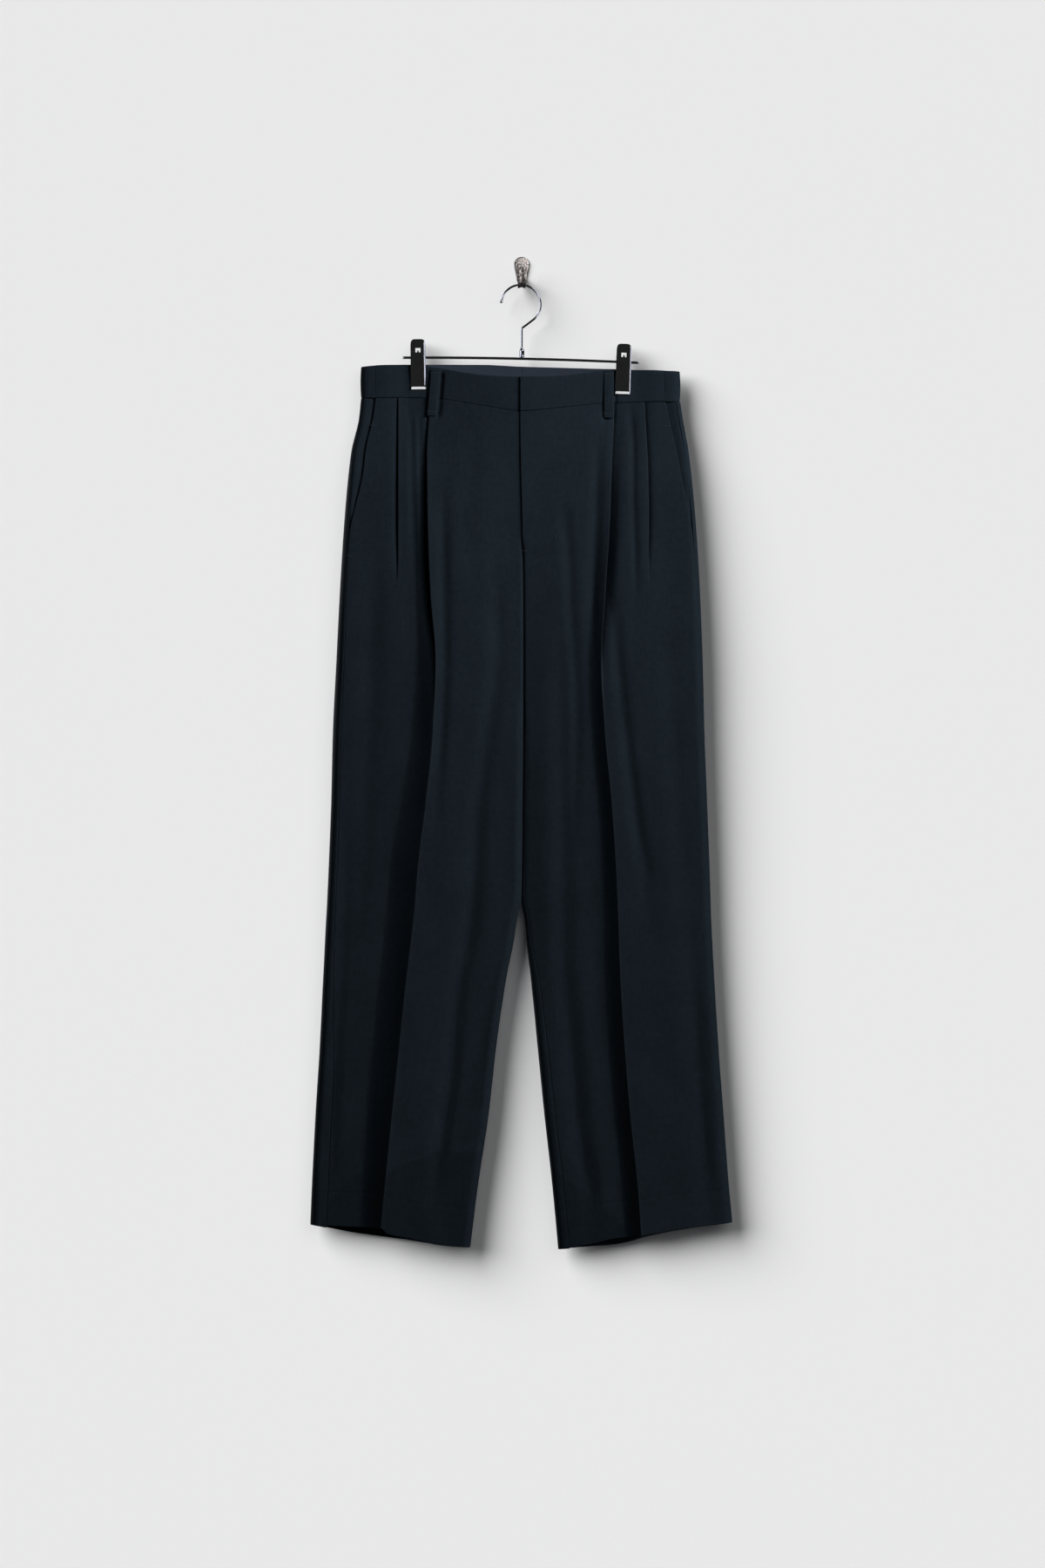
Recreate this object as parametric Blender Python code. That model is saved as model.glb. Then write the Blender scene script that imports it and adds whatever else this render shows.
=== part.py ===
"""Pleated dress trousers hung by the waist from a clip hanger on a small wall hook.

The wall is the plane y = 0 and the trousers' front faces -Y. The origin is the middle of the
wall hook's back face. The wearer's right is -X. Tables and sizes are in millimetres.
"""
import math

import bmesh
import bpy
from mathutils import Vector

for old in list(bpy.data.objects):
    bpy.data.objects.remove(old, do_unlink=True)

MM = 0.001

# where things hang
MID_Y = -24.0          # plane between the front and the back, in which the hanger hangs
WAIST_Z = -115.0       # top edge of the waistband; drops are measured down from here
SEAM_GAP = 0.3         # between pieces that are sewn together

# cloth
CLOTH_WALL = 1.4
BAND_WALL = 2.4
EDGE_RADIUS = 10.0     # how wide the cloth rounds over at a side or inseam fold
FLY_LAP = 8.0          # the left front lies this far over the right front
FLY_DROP = 215.0       # where the fly opening ends
CROTCH_DROP = (335.0, 395.0)

# belt loops
LOOP_WIDTH = 12.0
LOOP_WALL = 1.6
LOOP_BOW = 5.0

# hanger
ROD_RADIUS = 1.6
WIRE_RADIUS = 1.3
HOOK_RADIUS = 24.0
HOOK_CENTRE = (-1.1, -40.3)
FERRULE_RADIUS = 3.2
JAW_WALL = 1.2
BORE_RADIUS = 2.2      # of the rod's holes in the jaws

# wall hook
PLATE_WALL = 2.2
PRONG_WIDTH = 9.6
PRONG_WALL = 1.6


def table(names, rows):
    """Columns of numbers by name; the first column is the key that the rows go by."""
    columns = dict(zip(names.split(), zip(*rows)))
    columns["key"] = columns[names.split()[0]]
    return columns


# the outline from the front: x of each leg's edges, and of the pressed crease
OUTLINE = table(
    "drop  right_side right_crease right_inner  left_inner left_crease left_side", [
        (39, -195.6, -112.4, -2.0, -2.0, 112.9, 192.4),
        (64, -198.2, -113.4, -2.0, -2.0, 112.4, 196.1),
        (106, -207.8, -115.5, -1.5, -1.5, 110.2, 203.5),
        (191, -216.2, -114.5, 0.5, 0.5, 107.1, 212.0),
        (276, -221.5, -111.3, 1.8, 1.8, 101.8, 217.3),
        (361, -225.8, -104.9, 1.8, 2.2, 97.0, 220.5),
        (446, -230.0, -108.1, 1.4, 2.2, 101.2, 222.6),
        (530, -232.1, -116.6, 0.8, 1.6, 109.2, 225.8),
        (615, -235.3, -126.7, 0.0, 0.8, 115.0, 229.0),
        (664, -237.6, -130.4, -1.6, -0.4, 117.1, 230.4),
        (700, -239.6, -134.6, -9.5, 5.3, 118.2, 232.1),
        (742, -241.7, -139.9, -18.0, 10.6, 119.8, 234.3),
        (827, -245.9, -148.9, -30.7, 19.1, 125.1, 239.6),
        (912, -251.2, -157.9, -40.3, 27.6, 132.0, 245.9),
        (997, -255.5, -166.4, -53.0, 37.1, 141.0, 252.3),
        (1076, -258.6, -174.0, -63.0, 44.5, 146.5, 260.0)])

# how far inside each outer edge the panels' seams lie; below zero they lie behind the edge
SEAMS = table(
    "drop  right_front right_back left_front left_back right_inseam left_inseam", [
        (39, 17.5, 5.5, 18.0, 5.0, 0, 0),
        (76, 16.4, 5.5, 16.4, 4.8, 0, 0),
        (128, 17.5, 5.5, 13.3, 4.5, 0, 0),
        (170, 12.2, 5.8, 8.5, 4.3, 0, 0),
        (205, 6.9, 6.0, 5.0, 4.2, 0, 0),
        (233, 6.4, 6.4, 4.2, 4.2, 0, 0),
        (307, 9.0, 9.0, 4.0, 4.0, 0, 0),
        (440, 10.0, 10.0, 0.0, 0.0, 0, 0),
        (660, 10.5, 10.5, -3.0, -3.0, -3, 5),
        (780, 14.0, 14.0, -5.0, -5.0, -8, 11),
        (880, 19.0, 19.0, -6.0, -6.0, -10, 13),
        (1076, 20.0, 20.0, -6.0, -6.0, -12, 14)])

# fullness of front and back, and the crease's ridge with its steep and its gentle flank
FULLNESS = table(
    "drop  front back right_ridge right_steep left_ridge left_steep gentle back_ridge", [
        (39, 11, 10, 0, 20, 0, 15, 70, 0),
        (120, 12, 12, 1, 20, 1, 15, 70, 1),
        (233, 13, 13, 4, 20, 3, 15, 72, 3),
        (361, 13, 13, 10, 21, 7, 15, 75, 5),
        (446, 12, 12, 11, 23, 8, 16, 75, 6),
        (530, 11, 11, 13, 28, 9, 16, 75, 6),
        (615, 10, 10, 15, 34, 10, 16, 75, 6),
        (827, 9, 10, 15, 32, 11, 19, 75, 6),
        (1076, 8, 9, 12, 24, 10, 18, 75, 6)])

# the second pleat's fold line, and how deep both pleats' steps and hollows are
PLEATS = table(
    "drop  right_second left_second first_step first_hollow second_step second_hollow", [
        (39, -150.5, 149.5, 0.4, 0.0, 0.4, 0.0),
        (64, -150.5, 150.5, 1.4, 0.6, 1.3, 0.3),
        (120, -150.5, 153.6, 1.6, 3.0, 1.5, 1.0),
        (191, -150.5, 154.6, 1.8, 5.0, 1.3, 1.5),
        (240, -150.7, 153.8, 1.6, 5.0, 0.5, 0.8),
        (300, -152.5, 154.2, 0.4, 2.5, 0.0, 0.0),
        (361, -156.0, 156.0, 0.0, 0.0, 0.0, 0.0),
        (615, -175.0, 171.0, 0.0, 0.0, 0.0, 0.0),
        (1076, -206.0, 199.0, 0.0, 0.0, 0.0, 0.0)])

# hems by the share of the way from the side to the inseam; the back's hem hangs lower between
HEMS = table(
    "across  right left", [
        (0.0, 1045, 1043),
        (0.45, 1051, 1058),
        (0.62, 1062, 1062),
        (1.0, 1074, 1075)])
BACK_HEM_EXTRA = {"right": 9.0, "left": 5.0}

# edges of the waistband and of its seam, by x
BAND_EDGES = table(
    "x  front_top back_top front_seam back_seam", [
        (-200, 1.6, 1.6, 38.7, 38.7),
        (-158, -1.6, -1.6, 38.7, 38.7),
        (-114, 1.0, -1.6, 39.2, 38.6),
        (-47, 11.0, -1.6, 48.5, 38.6),
        (0, 13.3, 0.5, 55.0, 40.4),
        (50, 12.0, 2.0, 50.4, 42.0),
        (114, 5.0, 3.9, 45.0, 43.5),
        (158, 5.6, 5.6, 43.6, 43.6),
        (200, 6.6, 6.6, 43.0, 43.0)])

PINCH_X = 125.5        # the clips' places, where front and back are pressed together
PINCH_HALF = 11.0
RISER = 1.2            # width of a pleat's steep edge


def read(columns, name, at):
    """A column's value at a key, on a smooth curve that doesn't overshoot its rows."""
    keys, values = columns["key"], columns[name]
    if at <= keys[0]:
        return values[0]
    if at >= keys[-1]:
        return values[-1]
    i = max(n for n in range(len(keys) - 1) if keys[n] <= at)
    step = keys[i + 1] - keys[i]
    slope = (values[i + 1] - values[i]) / step
    before = (values[i] - values[i - 1]) / (keys[i] - keys[i - 1]) if i > 0 else slope
    after = slope
    if i + 2 < len(keys):
        after = (values[i + 2] - values[i + 1]) / (keys[i + 2] - keys[i + 1])
    start = 2 * before * slope / (before + slope) if before * slope > 0 else 0.0
    end = 2 * after * slope / (after + slope) if after * slope > 0 else 0.0
    t = (at - keys[i]) / step
    return (values[i] * (1 + 2 * t) * (1 - t) ** 2 + values[i + 1] * t * t * (3 - 2 * t)
            + step * t * (1 - t) * (start * (1 - t) - end * t))


def ease(low, high, at):
    """0 at low, 1 at high, smooth between; low may be the larger."""
    t = min(1.0, max(0.0, (at - low) / (high - low)))
    return t * t * (3 - 2 * t)


def mix(a, b, t):
    return a + (b - a) * t


# ---- how deep the cloth lies in front of and behind the middle plane ----

def waist_bulge(x, centre, side):
    """The band bows apart between the clips and at the sides, and is pinched at the clips."""
    reach = abs(x)
    if reach < PINCH_X - PINCH_HALF:
        return centre * (1 - (reach / (PINCH_X - PINCH_HALF)) ** 2) ** 2
    return side * ease(PINCH_X + PINCH_HALF, PINCH_X + PINCH_HALF + 30, reach)


def band_depth(face, x):
    if face > 0:
        return BAND_WALL + SEAM_GAP / 2 + waist_bulge(x, 10.0, 5.5)
    return BAND_WALL + SEAM_GAP / 2 + waist_bulge(x, 8.0, 4.5)


def crease_ridge(dx, height, steep, gentle):
    """A pressed edge: steep on its -X side, long and gentle on its +X side."""
    if dx < 0:
        return height * max(0.0, 1 + dx / steep) ** 1.2
    return height * max(0.0, 1 - dx / gentle) ** 1.6


def pleat_drop(outward, step, hollow, width):
    """How far the cloth lies back on the side seam's side of a pleat's fold."""
    if outward <= 0:
        return 0.0
    return min(1.0, outward / RISER) * (step * math.exp(-outward / 45) + hollow * math.exp(-outward / width))


def front_depth(leg, x, drop):
    away = -1 if leg == "right" else 1
    loose = ease(39, 150, drop)
    depth = mix(band_depth(1, x) - 0.3, read(FULLNESS, "front", drop), loose)
    crease = read(OUTLINE, leg + "_crease", drop)
    depth += crease_ridge(x - crease, read(FULLNESS, leg + "_ridge", drop),
                          read(FULLNESS, leg + "_steep", drop), read(FULLNESS, "gentle", drop))
    second = read(PLEATS, leg + "_second", drop)
    depth -= pleat_drop((x - crease) * away, read(PLEATS, "first_step", drop),
                        read(PLEATS, "first_hollow", drop), 9.0)
    depth -= pleat_drop((x - second) * away, read(PLEATS, "second_step", drop),
                        read(PLEATS, "second_hollow", drop), 6.0)
    return max(depth, CLOTH_WALL + SEAM_GAP / 2)


def back_depth(leg, x, drop):
    depth = mix(band_depth(-1, x) - 0.3, read(FULLNESS, "back", drop), ease(39, 150, drop))
    crease = read(OUTLINE, leg + "_crease", drop) + 4
    ridge = read(FULLNESS, "back_ridge", drop)
    return depth + ridge * math.exp(-abs(x - crease) / 22)


def fly_lift(x, drop, amount):
    """The left front is raised over the right front's edge, down to the fly's end."""
    centre = read(OUTLINE, "left_inner", drop)
    return amount * ease(34, 13, x - centre) * ease(FLY_DROP + 18, FLY_DROP + 4, drop)


# ---- places along an edge that rounds over from the front to the back ----

def arc_of(inside):
    """Length along the rounded edge for a place this far inside it; below zero is behind."""
    far = abs(inside)
    if far < EDGE_RADIUS:
        length = EDGE_RADIUS * math.acos(1 - far / EDGE_RADIUS)
    else:
        length = far - EDGE_RADIUS + EDGE_RADIUS * math.pi / 2
    return math.copysign(length, inside)


def on_edge(arc):
    """Distance inside the edge, share of the full depth, and the face (1 front, -1 back)."""
    face = 1 if arc >= 0 else -1
    turn = abs(arc) / EDGE_RADIUS
    if turn < math.pi / 2:
        return EDGE_RADIUS * (1 - math.cos(turn)), math.sin(turn), face
    return EDGE_RADIUS + (turn - math.pi / 2) * EDGE_RADIUS, 1.0, face


def panel_row(leg, face, drop, nudge=0.0):
    """One height of a leg panel, from its side seam to its inner seam: (x, share, face).

    A nudge moves both ends along the rounded edge, which gives the cloth's direction there.
    """
    side = read(OUTLINE, leg + "_side", drop)
    inner = read(OUTLINE, leg + "_inner", drop)
    inward = 1 if inner > side else -1
    crease = read(OUTLINE, leg + "_crease", drop)
    closed = ease(*CROTCH_DROP, drop)
    half_gap = SEAM_GAP / 2
    inseam = arc_of(read(SEAMS, leg + "_inseam", drop)) * closed
    if face > 0:
        if leg == "right":
            inner += FLY_LAP * ease(FLY_DROP - 4, FLY_DROP - 22, drop)
        inner -= inward * half_gap * (1 - closed)
        start = arc_of(read(SEAMS, leg + "_front", drop)) + half_gap + nudge
        second = read(PLEATS, leg + "_second", drop)
        stop = arc_of(abs(second - side) - RISER)
        arcs = [mix(start, stop, t) for t in (0, 0.06, 0.14, 0.3, 0.6, 1)]
        across = [second + (crease - second) * t for t in (0, 0.25, 0.5, 0.75)]
        across += [crease - inward * RISER, crease]
        inner_arcs = [mix(arc_of(abs(crease - inner)), inseam + half_gap * closed + nudge, t)
                      for t in (0.15, 0.32, 0.52, 0.72, 0.87, 0.95, 1)]
    else:
        inner -= inward * half_gap * (1 - closed)
        start = arc_of(read(SEAMS, leg + "_back", drop)) - half_gap + nudge
        stop = -arc_of(abs(crease - side))
        arcs = [mix(start, stop, t) for t in (0, 0.04, 0.08, 0.13, 0.2, 0.4, 0.7)]
        across = [crease]
        inner_arcs = [mix(-arc_of(abs(crease - inner)), inseam - half_gap * closed + nudge, t)
                      for t in (0.3, 0.6, 0.85, 0.94, 1)]
    row = []
    for arc in arcs:
        inside, share, where = on_edge(arc)
        row.append((side + inward * inside, share, where))
    row += [(x, 1.0, face) for x in across]
    for arc in inner_arcs:
        inside, share, where = on_edge(arc)
        row.append((inner - inward * inside, mix(1.0, share, closed), where if closed > 0 else face))
    return row


def leg_drop(leg, face, x, share, drop):
    """A row's height at x, a share of the way round the panel, after the waist seam and the hem."""
    top = read(BAND_EDGES, "front_seam" if face > 0 else "back_seam", x) - ROWS[0]
    side = read(OUTLINE, leg + "_side", drop)
    inner = read(OUTLINE, leg + "_inner", drop)
    hem = read(HEMS, leg, (x - side) / (inner - side)) - ROWS[-1]
    if face < 0:
        hem += BACK_HEM_EXTRA[leg] * math.sin(math.pi * share) ** 2
    return drop + (top + SEAM_GAP) * ease(150, ROWS[0], drop) + hem * ease(880, ROWS[-1], drop)


ROWS = (39, 50, 64, 84, 106, 135, 165, 191, 219, 233, 266, 300, 335, 352, 368, 395, 446, 530, 615,
        664, 700, 742, 827, 912, 980, 1047)


def panel_point(leg, face, drop, n, nudge=0.0):
    """The cloth's outer point at place n of a panel's row."""
    x, share, where = panel_row(leg, face, drop, nudge)[n]
    depth = front_depth(leg, x, drop) if where > 0 else back_depth(leg, x, drop)
    if face > 0 and leg == "left":
        depth += fly_lift(x, drop, CLOTH_WALL + 0.4)
    return Vector((x, MID_Y - where * depth * share, WAIST_Z - drop))


def leg_panel(leg, face):
    """The outer skin of a leg panel as rows of points, and each row's direction at its two ends."""
    last = len(panel_row(leg, face, ROWS[0])) - 1
    skin, ends = [], []
    for nominal in ROWS:
        flat = panel_row(leg, face, nominal)
        drops = [leg_drop(leg, face, flat[n][0], n / last, nominal) for n in range(last + 1)]
        skin.append([panel_point(leg, face, drops[n], n) for n in range(last + 1)])
        side = panel_point(leg, face, drops[0], 0, 1.0) - panel_point(leg, face, drops[0], 0, -1.0)
        inner = (skin[-1][last] - skin[-1][last - 1]) * face
        if drops[last] >= CROTCH_DROP[1]:
            inner = panel_point(leg, face, drops[last], last, -1.0) - panel_point(leg, face, drops[last], last, 1.0)
        ends.append((side * face, inner * face))
    return skin, ends


# ---- making solids ----

def material(name, colour, roughness, metallic=0.0):
    made = bpy.data.materials.new(name)
    made.use_nodes = True
    shader = made.node_tree.nodes["Principled BSDF"]
    shader.inputs["Base Color"].default_value = (*colour, 1)
    shader.inputs["Roughness"].default_value = roughness
    shader.inputs["Metallic"].default_value = metallic
    return made


NAVY = (0.012, 0.016, 0.022)
CHROME = (0.62, 0.62, 0.64)


def keep(name, mesh_data, colour, roughness, metallic=0.0):
    """Recalculate outward faces, scale to metres and put the mesh in the scene."""
    bmesh.ops.recalc_face_normals(mesh_data, faces=mesh_data.faces)
    bmesh.ops.scale(mesh_data, vec=(MM, MM, MM), verts=mesh_data.verts)
    mesh = bpy.data.meshes.new(name)
    mesh_data.to_mesh(mesh)
    mesh_data.free()
    mesh.materials.append(material(name, colour, roughness, metallic))
    made = bpy.data.objects.new(name, mesh)
    bpy.context.scene.collection.objects.link(made)
    return made


def wall_from_skin(name, skin, wall, inside_is, ends=None):
    """A closed wall between a skin of points and the same skin moved inwards along its normal."""
    high, wide = len(skin), len(skin[0])
    inner = []
    for r in range(high):
        line = []
        for c in range(wide):
            along = skin[r][min(c + 1, wide - 1)] - skin[r][max(c - 1, 0)]
            if ends and c in (0, wide - 1):
                along = ends[r][0 if c == 0 else 1]
            down = skin[min(r + 1, high - 1)][c] - skin[max(r - 1, 0)][c]
            line.append(skin[r][c] + along.cross(down).normalized() * wall * inside_is)
        inner.append(line)
    solid = bmesh.new()
    outside = [[solid.verts.new(p) for p in line] for line in skin]
    inside = [[solid.verts.new(p) for p in line] for line in inner]
    for r in range(high - 1):
        for c in range(wide - 1):
            for grid in (outside, inside):
                solid.faces.new((grid[r][c], grid[r][c + 1], grid[r + 1][c + 1], grid[r + 1][c]))
    ring = [(0, c) for c in range(wide - 1)] + [(r, wide - 1) for r in range(high - 1)]
    ring += [(high - 1, c) for c in range(wide - 1, 0, -1)] + [(r, 0) for r in range(high - 1, 0, -1)]
    for n, (r, c) in enumerate(ring):
        r2, c2 = ring[(n + 1) % len(ring)]
        solid.faces.new((outside[r][c], outside[r2][c2], inside[r2][c2], inside[r][c]))
    return keep(name, solid, NAVY, 0.85)


def loft(name, rings, colour, roughness, metallic=0.0):
    """A closed solid through rings of equal point counts, capped at both ends."""
    solid = bmesh.new()
    loops = [[solid.verts.new(p) for p in ring] for ring in rings]
    for first, second in zip(loops, loops[1:]):
        for n in range(len(first)):
            m = (n + 1) % len(first)
            solid.faces.new((first[n], first[m], second[m], second[n]))
    solid.faces.new(loops[0])
    solid.faces.new(loops[-1])
    return keep(name, solid, colour, roughness, metallic)


def wire_rings(path, radii, sides):
    """Rings square to a path that lies in the plane y = MID_Y."""
    rings = []
    for n, (x, z) in enumerate(path):
        ahead = path[min(n + 1, len(path) - 1)]
        behind = path[max(n - 1, 0)]
        tangent = Vector((ahead[0] - behind[0], 0, ahead[1] - behind[1])).normalized()
        across = tangent.cross(Vector((0, 1, 0)))
        rings.append([Vector((x, MID_Y, z)) + radii[n] * (math.cos(a) * across + math.sin(a) * Vector((0, 1, 0)))
                      for a in (math.tau * k / sides for k in range(sides))])
    return rings


def cut(target, cutter):
    """Cut one object out of another; the cutter stays hidden as a guide."""
    cutter.hide_render = True
    cutter.display_type = "WIRE"
    boolean = target.modifiers.new("cut", "BOOLEAN")
    boolean.operation = "DIFFERENCE"
    boolean.solver = "EXACT"
    boolean.object = cutter


# ---- cloth pieces ----

def make_legs():
    for leg in ("right", "left"):
        inside_is = 1 if leg == "right" else -1
        for name, face in (("front_", 1), ("back_", -1)):
            skin, ends = leg_panel(leg, face)
            wall_from_skin(name + leg, skin, CLOTH_WALL, inside_is * face, ends)


def band_skin(places, part, lift):
    """Rows of points of a band, from (x, share, face) places along its seam."""
    skin = []
    for row in (0, 0.5, 1):
        line = []
        for x, share, face in places:
            drop = mix(read(BAND_EDGES, part + "_top", x), read(BAND_EDGES, part + "_seam", x), row)
            depth = band_depth(face, x) * share + fly_lift(x, 0, lift)
            line.append(Vector((x, MID_Y - face * depth, WAIST_Z - drop)))
        skin.append(line)
    return skin


def make_bands():
    """The bands take their places across from the panels below them."""
    top = ROWS[0]
    wall_from_skin("band_front_right", band_skin(panel_row("right", 1, top), "front", 0), BAND_WALL, 1)
    wall_from_skin("band_front_left", band_skin(panel_row("left", 1, top), "front", BAND_WALL + 0.4),
                   BAND_WALL, -1)
    for leg, inside_is in (("right", 1), ("left", -1)):
        side = read(OUTLINE, leg + "_side", top)
        join = arc_of(read(SEAMS, leg + "_front", top)) - SEAM_GAP / 2
        foot = arc_of(read(SEAMS, leg + "_back", top))
        wrap = []
        for arc in (join, mix(join, foot, 0.5)):
            inside, share, face = on_edge(arc)
            wrap.append((side + inside_is * inside, share, face))
        seam = panel_row(leg, -1, top)
        pinches = [(-inside_is * (PINCH_X + reach), 1.0, -1)
                   for reach in (-29.5, -PINCH_HALF - 0.5, 0, PINCH_HALF + 0.5)]
        across = sorted(seam[3:] + pinches, key=lambda place: place[0] * inside_is)
        wall_from_skin("band_back_" + leg, band_skin(wrap + seam[:3] + across, "back", 0), BAND_WALL,
                       -inside_is)


def make_facings():
    """The strips behind the slanted pocket mouths, level with the back at the side seam."""
    under = CLOTH_WALL + SEAM_GAP + 0.05
    for leg in ("right", "left"):
        skin = []
        for nominal in (39.4, 50, 76, 102, 128, 150, 170, 190, 205, 218):
            line = []
            side = read(OUTLINE, leg + "_side", nominal)
            drop = leg_drop(leg, 1, side, 0, nominal)
            inward = 1 if leg == "right" else -1
            seam = arc_of(read(SEAMS, leg + "_back", drop)) + 1.3
            mouth = arc_of(read(SEAMS, leg + "_front", drop))
            flush = ease(1, 9, mouth - seam)
            seam += 2.0 * (1 - flush)
            mouth = max(mouth - 0.3, seam + 1.5)
            for arc, recess in ((seam, mix(under, 0.2, flush)), (mix(seam, mouth, 0.5), mix(under, 1.2, flush)),
                                (mouth, under), (mouth + 8, under), (mouth + 16, under)):
                inside, share, _ = on_edge(arc)
                x = side + inward * inside
                line.append(Vector((x, MID_Y - front_depth(leg, x, drop) * share + recess, WAIST_Z - drop)))
            skin.append(line)
        wall_from_skin("pocket_facing_" + leg, skin, CLOTH_WALL, 1 if leg == "right" else -1)


def make_loop(name, face, top_x, foot_x, top, foot):
    """A belt loop: a strip stitched at both ends, bowed away from the band between them."""
    leg = "right" if top_x < 0 else "left"
    skin = []
    for t in (0, 0.1, 0.2, 0.35, 0.5, 0.65, 0.8, 0.9, 1):
        drop = mix(top, foot, t)
        bow = LOOP_BOW * ease(0.06, 0.3, t) * ease(0.94, 0.7, t)
        across = [mix(top_x, foot_x, t) + side * LOOP_WIDTH for side in (-0.5, 0, 0.5)]
        cloth = max(band_depth(face, x) for x in across)
        if drop > 36:
            panel = front_depth if face > 0 else back_depth
            cloth = max([cloth] + [panel(leg, x, drop) + SEAM_GAP for x in across])
        depth = cloth + SEAM_GAP + bow + LOOP_WALL
        skin.append([Vector((x, MID_Y - face * depth, WAIST_Z - drop)) for x in across])
    wall_from_skin(name, skin, LOOP_WALL, face)


def make_loops():
    make_loop("loop_front_right", 1, -104.0, -109.0, 4.8, 61.0)
    make_loop("loop_front_left", 1, 106.5, 106.5, 5.6, 63.5)
    make_loop("loop_back_right", -1, -96.0, -96.0, -1.0, 54.0)
    make_loop("loop_back_centre", -1, 0.0, 0.0, 1.5, 56.0)
    make_loop("loop_back_left", -1, 96.0, 96.0, 4.2, 59.0)


# ---- the hanger and its clips ----

ROD_ENDS = ((-145.2, -105.0), (143.1, -111.3))       # x and z of the rod's two ends

# a jaw from its lip upwards: height, width, plate's distance from the middle, flange's distance
JAW = table(
    "height width plate flange", [
        (0.0, 18.6, 2.85, 2.85), (2.0, 19.4, 2.85, 2.85), (5.0, 19.4, 4.2, 2.85), (12.0, 19.0, 5.0, 2.95),
        (31.5, 18.2, 6.7, 3.9), (36.0, 18.0, 7.1, -3.9), (44.0, 17.6, 7.8, -3.9), (55.0, 17.2, 9.0, 6.5),
        (58.5, 15.4, 9.3, 8.6), (60.6, 11.0, 9.5, 9.2), (61.3, 6.0, 9.6, 9.5)])


def rod_z(x):
    (x0, z0), (x1, z1) = ROD_ENDS
    return mix(z0, z1, (x - x0) / (x1 - x0))


def make_jaw(name, x, rod_height, lean, face):
    """One jaw of a clip: a plate with folded side flanges and ears that the rod passes through."""
    narrow = 0.0 if face > 0 else 2 * (JAW_WALL + SEAM_GAP + 0.1)
    rings = []
    for height, width, plate, flange in zip(*(JAW[c] for c in ("height", "width", "plate", "flange"))):
        half = (width - narrow) / 2
        thin = min(JAW_WALL, half / 2)
        flange = min(flange, plate - 0.05)
        section = [(-half, plate + JAW_WALL), (half, plate + JAW_WALL), (half, flange), (half - thin, flange),
                   (half - thin, plate), (-half + thin, plate), (-half + thin, flange), (-half, flange)]
        rings.append([Vector((w, -face * t, height - rod_height)) for w, t in section])
    jaw = loft(name, rings, CHROME, 0.15, 1.0)
    tilt = -math.atan2(ROD_ENDS[1][1] - ROD_ENDS[0][1], ROD_ENDS[1][0] - ROD_ENDS[0][0])
    bpy.ops.mesh.primitive_cylinder_add(vertices=16, radius=BORE_RADIUS * MM, depth=30 * MM)
    bore = bpy.context.object
    bore.rotation_euler = (0, math.pi / 2 + tilt - lean, 0)
    bpy.ops.mesh.primitive_cube_add(size=1)
    window = bpy.context.object
    window.scale = (7.6 * MM, 30 * MM, 6.4 * MM)
    window.location = (0, -face * 9 * MM, (48.2 - rod_height) * MM)
    for cutter in (bore, window):
        cutter.name = name + "_cutter"
        cutter.parent = jaw
        cut(jaw, cutter)
    jaw.location = Vector((x, MID_Y, rod_z(x))) * MM
    jaw.rotation_euler = (0, lean, 0)


def tube_along_rod(name, x, half_length, outer, inner):
    """A short sleeve round the rod."""
    tilt = -math.atan2(ROD_ENDS[1][1] - ROD_ENDS[0][1], ROD_ENDS[1][0] - ROD_ENDS[0][0])
    solid = bmesh.new()
    profile = [(-half_length, inner), (-half_length, outer), (half_length, outer), (half_length, inner)]
    loops = []
    for k in range(16):
        a = math.tau * k / 16
        loops.append([solid.verts.new((s, r * math.cos(a), r * math.sin(a))) for s, r in profile])
    for k in range(16):
        first, second = loops[k], loops[(k + 1) % 16]
        for n in range(4):
            m = (n + 1) % 4
            solid.faces.new((first[n], first[m], second[m], second[n]))
    sleeve = keep(name, solid, CHROME, 0.3, 1.0)
    sleeve.location = Vector((x, MID_Y, rod_z(x))) * MM
    sleeve.rotation_euler = (0, tilt, 0)


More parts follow.
